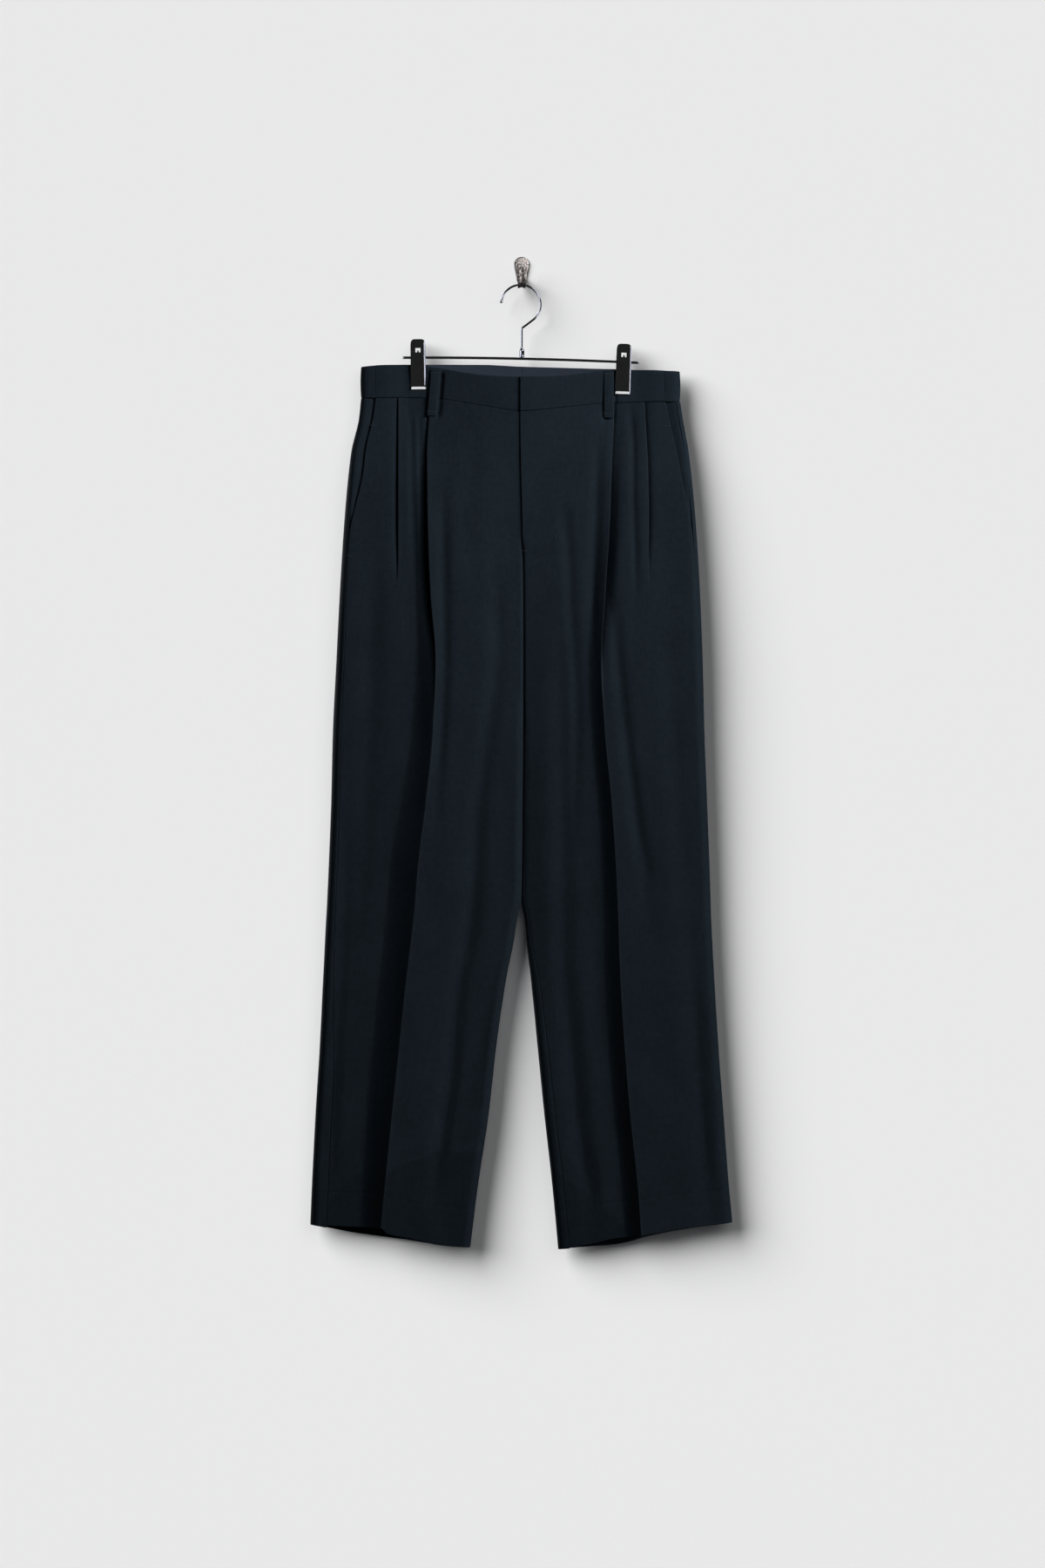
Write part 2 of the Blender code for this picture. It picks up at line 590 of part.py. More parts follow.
def make_hanger():
    (x0, z0), (x1, z1) = ROD_ENDS
    steps = [(mix(x0, x1, t), mix(z0, z1, t)) for t in (0, 0.004, 0.5, 0.996, 1)]
    loft("hanger_rod", wire_rings(steps, [1.0, ROD_RADIUS, ROD_RADIUS, ROD_RADIUS, 1.0], 12), CHROME, 0.1, 1.0)

    seat = rod_z(0) + ROD_RADIUS + SEAM_GAP
    top = seat + 11.0
    heights = ((seat, 3.0), (seat + 0.6, FERRULE_RADIUS), (top - 2.4, FERRULE_RADIUS), (top - 1.0, 2.5), (top, 2.0))
    loft("hanger_ferrule", wire_rings([(0.0, z) for z, _ in heights], [r for _, r in heights], 16), CHROME, 0.1, 1.0)

    centre_x, centre_z = HOOK_CENTRE
    path = [(0.0, top + SEAM_GAP), (0.0, -75.0), (0.4, -69.5), (2.2, -66.6), (8.5, -62.3)]
    turns = [math.radians(mix(-45, 172.5, n / 26)) for n in range(27)]
    path += [(centre_x + HOOK_RADIUS * math.cos(a), centre_z + HOOK_RADIUS * math.sin(a)) for a in turns]
    radii = [WIRE_RADIUS] * len(path)
    tip_x, tip_z = path[-1]
    for ahead, radius in ((0.5, 1.75), (1.6, 2.1), (2.8, 1.75), (3.5, 0.9)):
        path.append((tip_x - ahead * math.sin(turns[-1]), tip_z + ahead * math.cos(turns[-1])))
        radii.append(radius)
    loft("hanger_hook", wire_rings(path, radii, 10), CHROME, 0.1, 1.0)

    for side, x, rod_height, lean in (("right", -126.2, 39.1, -0.012), ("left", 124.2, 39.4, 0.034)):
        make_jaw("clip_" + side + "_front", x, rod_height, lean, 1)
        make_jaw("clip_" + side + "_back", x, rod_height, lean, -1)
        tube_along_rod("clip_" + side + "_spring", x, 5.6, 3.5, ROD_RADIUS + SEAM_GAP)


# ---- the wall hook ----

def plate_outline(count):
    """A drop-shaped outline: a wide arc above, a narrow one below and straight sides between."""
    wide, narrow, high, low = 9.6, 6.0, 6.7, -11.0
    lean = math.asin((wide - narrow) / (high - low))
    upper = [mix(-lean, math.pi + lean, n / count) for n in range(count + 1)]
    lower = [mix(math.pi + lean, math.tau - lean, n / count) for n in range(count + 1)]
    points = [(wide * math.cos(a), high + wide * math.sin(a)) for a in upper]
    return points + [(narrow * math.cos(a), low + narrow * math.sin(a)) for a in lower]


def make_wall_hook():
    outline = plate_outline(10)
    rings = [[Vector((x * share, -y, z * share)) for x, z in outline]
             for y, share in ((0, 1.0), (0.9, 1.0), (1.8, 0.9), (PLATE_WALL, 0.72))]
    plate = loft("wall_hook", rings, CHROME, 0.25, 1.0)

    sag = HOOK_RADIUS - math.sqrt(HOOK_RADIUS ** 2 - (PRONG_WIDTH / 2 - HOOK_CENTRE[0]) ** 2)
    low = HOOK_CENTRE[1] + HOOK_RADIUS - WIRE_RADIUS - sag - SEAM_GAP - PRONG_WALL / 2
    turn = 9.0
    side_view = [(-1.0, -6.5), (-6.0, -9.2), (-13.0, low + 3.4)]
    side_view += [(MID_Y - turn * math.sin(a), low + turn * (1 - math.cos(a)))
                  for a in (math.radians(d) for d in (-40, -20, 0, 20, 40, 60, 80))]
    side_view += [(MID_Y - turn - 0.6, low + 14.0), (MID_Y - turn - 1.4, 1.5), (MID_Y - turn - 1.6, 4.2),
                  (MID_Y - turn - 1.7, 5.2)]
    widths = [PRONG_WIDTH] * (len(side_view) - 2) + [7.6, 4.0]
    rings = []
    for n, (y, z) in enumerate(side_view):
        ahead = side_view[min(n + 1, len(side_view) - 1)]
        behind = side_view[max(n - 1, 0)]
        tangent = Vector((0, ahead[0] - behind[0], ahead[1] - behind[1])).normalized()
        out = tangent.cross(Vector((1, 0, 0))) * PRONG_WALL / 2
        half = widths[n] / 2
        middle = Vector((0, y, z))
        rings.append([middle + Vector((w * half, 0, 0)) + out * t
                      for w, t in ((-1, -0.4), (-0.8, -1), (0.8, -1), (1, -0.4), (1, 0.4), (0.8, 1), (-0.8, 1),
                                   (-1, 0.4))])
    prong = loft("wall_hook_prong", rings, CHROME, 0.2, 1.0)
    prong.hide_render = True
    prong.display_type = "WIRE"
    join = plate.modifiers.new("join", "BOOLEAN")
    join.operation = "UNION"
    join.solver = "EXACT"
    join.object = prong


make_legs()
make_bands()
make_facings()
make_loops()
make_hanger()
make_wall_hook()
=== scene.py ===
import math

import bmesh
import bpy
import numpy as np
from mathutils import Matrix, Vector


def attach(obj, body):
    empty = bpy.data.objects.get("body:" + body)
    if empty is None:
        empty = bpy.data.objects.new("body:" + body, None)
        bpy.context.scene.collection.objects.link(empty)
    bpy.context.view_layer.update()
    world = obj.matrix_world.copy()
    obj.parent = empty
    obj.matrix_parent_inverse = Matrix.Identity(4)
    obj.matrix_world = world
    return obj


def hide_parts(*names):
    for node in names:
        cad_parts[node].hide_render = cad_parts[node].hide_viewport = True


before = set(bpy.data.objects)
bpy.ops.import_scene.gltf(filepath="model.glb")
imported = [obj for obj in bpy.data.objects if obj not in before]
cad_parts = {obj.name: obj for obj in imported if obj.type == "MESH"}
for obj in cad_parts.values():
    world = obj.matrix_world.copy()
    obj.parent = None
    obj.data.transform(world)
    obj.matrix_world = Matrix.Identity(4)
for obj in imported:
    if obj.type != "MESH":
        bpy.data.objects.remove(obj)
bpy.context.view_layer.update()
print("frame loaded:", len(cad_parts), "nodes")

mm = 0.001          # sizes below are millimetres
scene = bpy.context.scene


# how the trousers hang; drops are measured down from the waistband's top edge
trousers = {
    "midY": -24.0,
    "waistZ": -115.0,
    "seamGap": 0.02,
    "clothWall": 1.4,
    "pinchGap": 0.4,      # how far the band's inside stays from the middle at the clips
    "backSeamShift": 2.5,
    "backCreaseShift": 4.0,
    "flyWall": 1.8,       # how far the fly's lap lifts the left front
    "mouthStep": 1.0,     # how much deeper the facing lies at the pocket's mouth
    "edgeRadius": 10.0,
    "flyLap": 8.0,
    "flyDrop": 215.0,
    "crotchTop": 385.0,
    "crotchFoot": 455.0,
    "pinchX": 125.5,
    "pinchHalf": 11.0,
    "hemAllowance": 42.0,
}
inwardOf = {"right": 1, "left": -1}     # the way from each leg's outer edge to the middle
midY = trousers["midY"]
waistZ = trousers["waistZ"]
halfGap = trousers["seamGap"] / 2
edgeRadius = trousers["edgeRadius"]


def table(names, rows):
    columns = dict(zip(names.split(), np.array(rows, float).T))
    columns["key"] = columns[names.split()[0]]
    return columns


def read(columns, name, at):
    # a column's value at a key, on a smooth curve that doesn't overshoot its rows
    keys = columns["key"]
    values = columns[name]
    at = np.clip(np.asarray(at, float), keys[0], keys[-1])
    steps = np.diff(keys)
    slopes = np.diff(values) / steps
    before = np.concatenate((slopes[:1], slopes))
    after = np.concatenate((slopes, slopes[-1:]))
    same = before * after > 0
    tangents = np.where(same, 2 * before * after / np.where(same, before + after, 1.0), 0.0)
    i = np.clip(np.searchsorted(keys, at, side="right") - 1, 0, len(keys) - 2)
    t = (at - keys[i]) / steps[i]
    bend = steps[i] * t * (1 - t) * (tangents[i] * (1 - t) - tangents[i + 1] * t)
    return values[i] * (1 + 2 * t) * (1 - t) ** 2 + values[i + 1] * t * t * (3 - 2 * t) + bend


def ease(low, high, at):
    t = np.clip((np.asarray(at, float) - low) / (high - low), 0, 1)
    return t * t * (3 - 2 * t)


def mix(a, b, t):
    return a + (b - a) * t


# the outline from the front: x of each leg's edges, and of the pressed crease
outline = table("drop rightSide rightCrease rightInner leftInner leftCrease leftSide", [
    (39, -195.6, -112.4, -2.0, -2.0, 112.9, 192.4),
    (64, -198.2, -113.4, -2.0, -2.0, 112.4, 196.1),
    (106, -207.8, -115.5, -1.5, -1.5, 110.2, 203.5),
    (191, -216.2, -114.5, 0.5, 0.5, 107.1, 212.0),
    (276, -221.5, -111.3, 1.8, 1.8, 101.8, 217.3),
    (361, -225.8, -104.9, 2.0, 2.0, 97.0, 220.5),
    (446, -230.0, -108.1, 1.85, 1.75, 101.2, 222.6),
    (530, -232.1, -116.6, 1.25, 1.15, 109.2, 225.8),
    (615, -235.3, -126.7, 0.5, 0.4, 115.0, 229.0),
    (652, -237.0, -129.5, -0.3, -0.3, 116.6, 230.1),
    (662, -237.5, -130.3, -3.4, 1.5, 117.0, 230.4),
    (672, -238.1, -131.4, -5.4, 3.1, 117.4, 230.8),
    (700, -239.6, -134.6, -9.5, 5.3, 118.2, 232.1),
    (742, -241.7, -139.9, -18.0, 10.6, 119.8, 234.3),
    (827, -245.9, -148.9, -30.7, 19.1, 125.1, 239.6),
    (912, -251.2, -157.9, -40.3, 27.6, 132.0, 245.9),
    (997, -255.5, -166.4, -53.0, 37.1, 141.0, 252.3),
    (1076, -258.6, -174.0, -63.0, 44.5, 146.5, 260.0)])

# how far inside each outer edge the panels' seams lie; below zero they lie behind the edge
seams = table("drop rightFront rightBack leftFront leftBack rightInseam leftInseam", [
    (39, 17.5, 5.5, 18.0, 5.0, 0, 0),
    (76, 16.4, 5.5, 16.4, 4.8, 0, 0),
    (128, 17.5, 5.5, 13.3, 4.5, 0, 0),
    (170, 12.2, 5.8, 8.5, 4.3, 0, 0),
    (205, 6.9, 6.0, 5.0, 4.2, 0, 0),
    (233, 6.4, 6.4, 4.2, 4.2, 0, 0),
    (307, 9.0, 9.0, 4.0, 4.0, 0, 0),
    (440, 10.0, 10.0, 0.0, 0.0, 0, 0),
    (660, 10.5, 10.5, -3.0, -3.0, -3, 5),
    (780, 14.0, 14.0, -5.0, -5.0, -8, 11),
    (880, 19.0, 19.0, -6.0, -6.0, -10, 13),
    (1076, 20.0, 20.0, -6.0, -6.0, -12, 14)])

# fullness of front and back, and the crease's ridge with its steep and its gentle flank
fullness = table("drop front back rightRidge rightSteep leftRidge leftSteep gentle backRidge", [
    (39, 10, 10, 0, 14, 0, 12, 70, 0),
    (90, 11, 11, 0.8, 14, 0.4, 12, 70, 1),
    (130, 11.5, 12, 3, 14, 1.2, 12, 70, 1),
    (190, 12, 13, 6.5, 15, 3, 13, 70, 2),
    (240, 12, 13, 9, 16, 5, 14, 72, 3),
    (300, 12, 13, 10.5, 19, 7.5, 15, 74, 4),
    (361, 12, 13, 12, 23, 9.5, 16, 75, 5),
    (446, 12, 12, 12.5, 26, 10, 16, 75, 6),
    (530, 11, 11, 14, 30, 10, 16, 75, 6),
    (615, 10, 10, 15, 34, 10, 17, 75, 6),
    (827, 9, 10, 15, 32, 11, 19, 75, 6),
    (1076, 8, 9, 12, 24, 10, 19, 75, 6)])

# the second pleat's fold line, and how deep both pleats' steps and hollows are
pleats = table("drop rightSecond leftSecond firstStep firstHollow secondStep secondHollow", [
    (39, -150.5, 149.5, 1.0, 0.0, 1.2, 0.0),
    (64, -150.5, 150.5, 1.5, 0.8, 1.7, 0.5),
    (120, -150.5, 153.6, 1.7, 4.2, 1.8, 1.6),
    (191, -150.5, 154.6, 1.8, 7.6, 1.7, 2.2),
    (240, -150.7, 153.8, 1.6, 9.0, 0.7, 0.9),
    (275, -151.8, 153.9, 1.1, 8.4, 0.0, 0.0),
    (300, -152.5, 154.2, 0.6, 6.8, 0.0, 0.0),
    (361, -156.0, 156.0, 0.1, 2.4, 0.0, 0.0),
    (430, -160.5, 159.5, 0.0, 0.0, 0.0, 0.0),
    (615, -175.0, 171.0, 0.0, 0.0, 0.0, 0.0),
    (1076, -206.0, 199.0, 0.0, 0.0, 0.0, 0.0)])

# hems by the share of the way from the side to the inseam
hems = {which: table("across drop", points) for which, points in {
    ("right", 1): [(0, 1045), (0.08, 1046.3), (0.30, 1048.3), (0.445, 1050.2), (0.465, 1055.4), (0.60, 1061),
                   (0.82, 1070), (1, 1073)],
    ("right", -1): [(0, 1045.4), (0.08, 1048.2), (0.25, 1054.6), (0.45, 1060.2), (0.60, 1064), (0.82, 1070.6),
                    (1, 1073.4)],
    ("left", 1): [(0, 1042.6), (0.25, 1049), (0.45, 1056), (0.545, 1059.8), (0.675, 1062.2), (0.80, 1068.4),
                  (1, 1075)],
    ("left", -1): [(0, 1042.8), (0.30, 1052), (0.50, 1061), (0.60, 1067), (0.70, 1070.4), (0.80, 1072),
                   (1, 1075.4)],
}.items()}

# edges of the waistband and of its seam, by x
bandEdges = table("x frontTop backTop frontSeam backSeam", [
    (-200, 1.9, 1.6, 38.7, 39.2),
    (-178, -0.6, -0.4, 38.7, 39.2),
    (-158, -1.2, -1.6, 38.7, 39.2),
    (-136, -0.4, -1.6, 38.9, 39.3),
    (-114, 1.0, -1.6, 39.2, 39.5),
    (-103, 2.29, -1.6, 39.85, 39.3),
    (-47, 11.0, -1.6, 48.5, 38.6),
    (0, 13.3, 0.5, 55.0, 40.4),
    (50, 12.0, 2.0, 50.4, 42.0),
    (99, 5.86, 3.5, 45.96, 45.21),
    (114, 5.0, 3.9, 45.0, 45.2),
    (136, 5.05, 4.8, 44.2, 44.7),
    (158, 5.2, 5.6, 43.6, 44.1),
    (180, 6.3, 6.2, 43.2, 43.8),
    (200, 7.6, 7.0, 43.0, 43.6)])

# soft troughs: (x, drop) down their line, depth, width, and how softly they start and end;
# a negative depth is a soft ridge
softFolds = {
    ("right", 1): [
        ([(-96, 175), (-95, 260), (-94, 345), (-97, 430), (-103, 520)], 3.2, 7.5, 50, 90),
        ([(-31, 265), (-29, 340), (-33, 393), (-38, 420), (-46, 483), (-54, 545), (-59, 639), (-67, 700),
          (-79, 765), (-87, 868), (-99, 942), (-106, 1000)], 2.8, 10.5, 60, 60),
        ([(-135, 40), (-134, 90), (-133, 150), (-131, 230)], 1.6, 4.5, 8, 60),
        ([(-125, 40), (-124, 100), (-123, 150)], 1.3, 3.5, 8, 40),
        ([(-178, 240), (-186, 430), (-196, 640)], 1.6, 13, 80, 160),
        ([(-212, 560), (-222, 760), (-232, 930)], 1.0, 9, 90, 90),
        ([(-60, 90), (-66, 190), (-60, 260)], 1.3, 13, 40, 60),
        ([(-22, 700), (-52, 830), (-78, 950)], 1.0, 12, 60, 70)],
    ("left", 1): [
        ([(51.4, 177), (55.4, 212), (58, 252), (59.4, 292), (63.6, 345), (66.8, 420), (66, 520)],
         2.4, 7.2, 30, 110),
        ([(47, 330), (48, 420), (50, 509), (50, 721), (58, 809), (69, 927), (84, 1018)], 2.1, 11, 80, 50),
        ([(92.5, 106), (90, 186), (87, 266), (86, 330)], 2.8, 6.5, 40, 60),
        ([(112, 290), (115, 337), (122, 411), (131, 484), (140, 558), (151, 616)], 3.4, 8, 50, 90),
        ([(133, 57), (136, 106), (136, 160), (137.5, 212), (139, 265)], 2.2, 4.5, 20, 50),
        ([(178, 330), (188, 500), (196, 640)], 1.4, 12, 90, 120),
        ([(86, 620), (92, 760), (102, 880)], 1.1, 12, 90, 90),
        ([(205, 700), (216, 880), (226, 1010)], 1.3, 9, 90, 60)],
    ("right", -1): [
        ([(-52, 80), (-58, 200), (-70, 330), (-76, 520), (-82, 700)], 3.0, 13, 50, 140),
        ([(-160, 110), (-168, 260), (-170, 420), (-182, 610)], 2.6, 12, 60, 130),
        ([(-20, 250), (-30, 330), (-50, 400)], 2.2, 11, 50, 70),
        ([(-96, 560), (-104, 760), (-116, 960)], 2.4, 12, 120, 60),
        ([(-205, 640), (-214, 840), (-220, 980)], 1.8, 10, 90, 70)],
    ("left", -1): [
        ([(54, 90), (58, 220), (66, 340), (66, 540), (72, 650)], 2.8, 13, 50, 120),
        ([(158, 120), (164, 300), (168, 470), (176, 700)], 2.4, 12, 70, 150),
        ([(20, 240), (28, 330), (44, 410)], 2.4, 11, 50, 70),
        ([(92, 640), (98, 820), (108, 1000)], 2.6, 12, 110, 50),
        ([(198, 560), (206, 760), (214, 900)], 1.6, 10, 90, 90)],
}

beltLoops = {
    "width": 12.0,
    "wall": 1.4,
    "edge": 0.7,
    "bow": 0.7,
    "ditch": {"loop_front_right": (3.8, 2.5), "loop_front_left": (3.2, 2.0)},   # depth and width
    "bandFoot": 36.0,     # below it a loop clears the leg panel too
    "places": [           # name, face, top x, foot x, top drop, foot drop
        ("loop_front_right", 1, -104.5, -109.5, 4.8, 61.0),
        ("loop_front_left", 1, 106.2, 106.2, 5.6, 63.5),
        ("loop_back_right", -1, -96.0, -96.0, -1.0, 54.0),
        ("loop_back_centre", -1, 0.0, 0.0, 1.5, 56.0),
        ("loop_back_left", -1, 96.0, 96.0, 4.2, 59.0)],
}


# depths are distances in front of or behind the middle plane
def waistBulge(x, centre, side):
    # the band bows apart between the clips and at the sides, and is pinched at the clips
    reach = np.abs(x)
    near = trousers["pinchX"] - trousers["pinchHalf"]
    far = trousers["pinchX"] + trousers["pinchHalf"]
    between = centre * (1 - np.minimum(reach / near, 1) ** 2) ** 1.2
    return np.where(reach < near, between, side * ease(far, far + 30, reach))


def bandDepth(face, x):
    bow = band["frontBow"] if face > 0 else band["backBow"]
    return band["wall"] + trousers["pinchGap"] + waistBulge(x, *bow)


def loopDitch(x, drop):
    # the cloth dips beside and under each front belt loop
    total = 0.0
    half = beltLoops["width"] / 2
    for name, face, topX, footX, top, foot in beltLoops["places"]:
        if face > 0:
            depth, reach = beltLoops["ditch"][name]
            off = x - mix(topX, footX, (drop - top) / (foot - top))
            right = np.exp(-((off - half - reach * 0.75) / reach) ** 2)
            left = 0.5 * ease(top + 14, foot - 8, drop) * np.exp(-((off + half + reach * 0.6) / reach) ** 2)
            beside = (right + left) * ease(top + 1, top + 8, drop) * ease(foot + 3, foot - 2, drop)
            under = np.exp(-((drop - foot - 1.4) / 1.7) ** 2) * ease(half + 2, half - 1, np.abs(off))
            total = total + depth * (beside + under)
    return total


def creaseRidge(dx, height, steep, gentle, base):
    # a pressed edge: steep on its -x side, long and gentle on its +x side
    low = height * np.maximum(0.0, 1 + np.minimum(dx, 0) / (1.02 * steep)) ** 1.3
    high = height * (base + 0.45 * np.maximum(0.0, 1 - np.maximum(dx, 0) / (1.4 * gentle)) ** 1.1)
    return np.where(dx < 0, low, high)


def creaseX(leg, face, drop):
    return read(outline, leg + "Crease", drop) + (0 if face > 0 else trousers["backCreaseShift"])


def pleatDrop(outward, step, hollow, width):
    out = np.maximum(outward, 0)
    return np.minimum(1.0, out / 1.2) * (step * np.exp(-out / 45) + hollow * np.exp(-(out / width) ** 2))


def foldDepth(folds, x, drop):
    total = 0.0
    for line, depth, width, above, below in folds:
        places, drops = np.array(line, float).T
        centre = read({"key": drops, "x": places}, "x", drop)
        first, last = drops[0], drops[-1]
        amount = ease(first - above, first + above, drop) * ease(last + below, last - below, drop)
        total = total + depth * amount * np.exp(-((x - centre) / width) ** 2)
    return total


def ripple(x, drop, turn):
    # slow unevenness that every hanging cloth has
    slow = 0.26 * np.sin(x / 12.5 + drop / 170 + turn) + 0.19 * np.sin(x / 7.9 - drop / 120 + 2 * turn)
    return (slow + 0.17 * np.sin(drop / 31 + x / 46 + 3 * turn)) * ease(45, 130, drop)


def frontDepth(leg, x, drop, folded=(1, 2)):
    away = -inwardOf[leg]
    depth = mix(bandDepth(1, x) - 0.3, read(fullness, "front", drop), ease(39, 150, drop))
    crease = creaseX(leg, 1, drop)
    inner = read(outline, leg + "Inner", drop)
    # the right front comes down to the left one's height at the centre front
    base = 0.55 * mix(ease(2, 50, inner - x), 1.0, ease(330, 450, drop)) if leg == "right" else 0.55
    depth = depth + creaseRidge(x - crease, read(fullness, leg + "Ridge", drop),
                                read(fullness, leg + "Steep", drop), read(fullness, "gentle", drop), base)
    # the centre seam's groove below the fly, and the left leg's hollow beside the crotch
    depth = depth - 2.0 * np.exp(-((x - inner) / 1.9) ** 2) * ease(205, 228, drop) * ease(470, 430, drop)
    if leg == "left":
        depth = depth - 4.5 * np.exp(-((x - inner) / 27) ** 2) * ease(230, 380, drop) * ease(860, 640, drop)
    depth = depth - foldDepth(softFolds[leg, 1], x, drop) - loopDitch(x, drop) + ripple(x, drop, 0.6 + away)
    if 1 in folded:
        depth = depth - pleatDrop((x - crease) * away, read(pleats, "firstStep", drop),
                                  read(pleats, "firstHollow", drop), 8.0)
    if 2 in folded:
        second = read(pleats, leg + "Second", drop)
        depth = depth - pleatDrop((x - second) * away, read(pleats, "secondStep", drop),
                                  read(pleats, "secondHollow", drop), 4.5)
    return np.maximum(depth, trousers["clothWall"] + halfGap)


def backDepth(leg, x, drop):
    depth = mix(bandDepth(-1, x) - 0.3, read(fullness, "back", drop), ease(39, 150, drop))
    crease = creaseX(leg, -1, drop)
    ridge = read(fullness, "backRidge", drop) * np.exp(-np.abs(x - crease) / 22)
    # a dart pinches the back below the band and leans towards the middle
    dart = np.abs(x + inwardOf[leg] * 96 * (1 - 0.0006 * drop))
    pinch = 1.1 * np.exp(-(dart / 1.3) ** 2) * ease(132, 96, drop)
    depth = depth + ridge - pinch - foldDepth(softFolds[leg, -1], x, drop)
    return np.maximum(depth + ripple(x, drop, 2.2 if leg == "left" else 3.9), trousers["clothWall"] + halfGap)


def flyLift(x, drop, amount):
    foot = trousers["flyDrop"]
    return amount * ease(92, 9, x - read(outline, "leftInner", drop)) * ease(foot + 18, foot + 4, drop)


def innerShare(share, drop):
    # the legs' inner edges turn back more sharply near the crotch
    return np.power(np.maximum(share, 0.0), mix(0.45, 0.75, ease(420, 620, drop)))


def arcOf(inside):
    # length along an edge that rounds over from the front (above zero) to the back
    far = np.abs(inside)
    near = edgeRadius * np.arccos(1 - np.minimum(far, edgeRadius) / edgeRadius)
    length = np.where(far < edgeRadius, near, far - edgeRadius + edgeRadius * math.pi / 2)
    return np.copysign(length, inside)


def onEdge(arc):
    # distance inside the edge, share of the full depth, and the face (1 front, -1 back)
    turn = np.abs(arc) / edgeRadius
    bent = turn < math.pi / 2
    inside = np.where(bent, edgeRadius * (1 - np.cos(turn)), edgeRadius * (1 + turn - math.pi / 2))
    return inside, np.where(bent, np.sin(turn), 1.0), np.where(arc >= 0, 1.0, -1.0)


def newObject(name, data):
    made = bpy.data.objects.new(name, data)
    scene.collection.objects.link(made)
    return made


def addNode(tree, kind, settings, values):
    # settings go first, because they can change which sockets there are
    node = tree.nodes.new(kind)
    for name, setting in settings.items():
        setattr(node, name, setting)
    for name, value in values.items():
        source = value.socket if isinstance(value, Term) else value
        if isinstance(source, bpy.types.NodeSocket):
            tree.links.new(source, node.inputs[name])
        else:
            node.inputs[name].default_value = value
    return node


class Term:
    # wraps one socket, so that shader maths reads as a Python expression
    def __init__(self, finish, socket):
        self.finish = finish
        self.socket = socket

    def work(self, operation, *parts):
        return self.finish.add("ShaderNodeMath", {"operation": operation}, dict(enumerate(parts)))

    def __add__(self, other):
        return self.work("ADD", self, other)

    def __sub__(self, other):
        return self.work("SUBTRACT", self, other)

    def __rsub__(self, other):
        return self.work("SUBTRACT", other, self)

    def __mul__(self, other):
        return self.work("MULTIPLY", self, other)

    __radd__ = __add__
    __rmul__ = __mul__


class Finish:
    # a material: fixed values go on the shader's own sockets, the rest is added node by node
    def __init__(self, name, fixed):
        self.material = bpy.data.materials.new(name)
        self.material.use_nodes = True
        self.tree = self.material.node_tree
        self.shader = self.tree.nodes["Principled BSDF"]
        for socket, value in fixed.items():
            self.shader.inputs[socket].default_value = value

    def add(self, kind, settings, values, output=0):
        return Term(self, addNode(self.tree, kind, settings, values).outputs[output])

    def noise(self, vector, scale, detail=3.0, roughness=0.55):
        return self.add("ShaderNodeTexNoise", {}, {"Vector": vector, "Scale": scale, "Detail": detail,
                                                   "Roughness": roughness})

    def stretch(self, vector, scale):
        return self.add("ShaderNodeMapping", {}, {"Vector": vector, "Scale": scale})

    def between(self, value, low, high):
        return self.add("ShaderNodeMapRange", {"interpolation_type": "SMOOTHSTEP"},
                        {"Value": value, "From Min": low, "From Max": high})

    def blend(self, amount, first, second):
        # two colours, which are sockets 6 and 7 of a colour mix
        return self.add("ShaderNodeMix", {"data_type": "RGBA"}, {0: amount, 6: first, 7: second}, 2)

    def feed(self, socket, term):
        self.tree.links.new(term.socket, self.shader.inputs[socket])

    def bump(self, height, distance):
        self.feed("Normal", self.add("ShaderNodeBump", {}, {"Height": height, "Distance": distance}))


# cloth: colours are linear, the weave's sizes are metres
clothLook = {
    "dark": (0.0043, 0.0081, 0.0120, 1),
    "light": (0.0119, 0.0189, 0.0267, 1),
    # lighter cloth for rubbed, pressed edges, which also paints a highlight along creases and pleat folds
    "pressed": (0.0152, 0.0232, 0.0316, 1),
    "liningDark": (0.019, 0.025, 0.037, 1),
    "liningLight": (0.030, 0.038, 0.052, 1),
    "waleWidth": 0.0011,
    "waleSlope": 0.72,
    "crossShare": 0.46,   # the cross threads' spacing, as a share of the wales'
    "waleHeight": 0.00007,
    "roughness": 0.88,
}


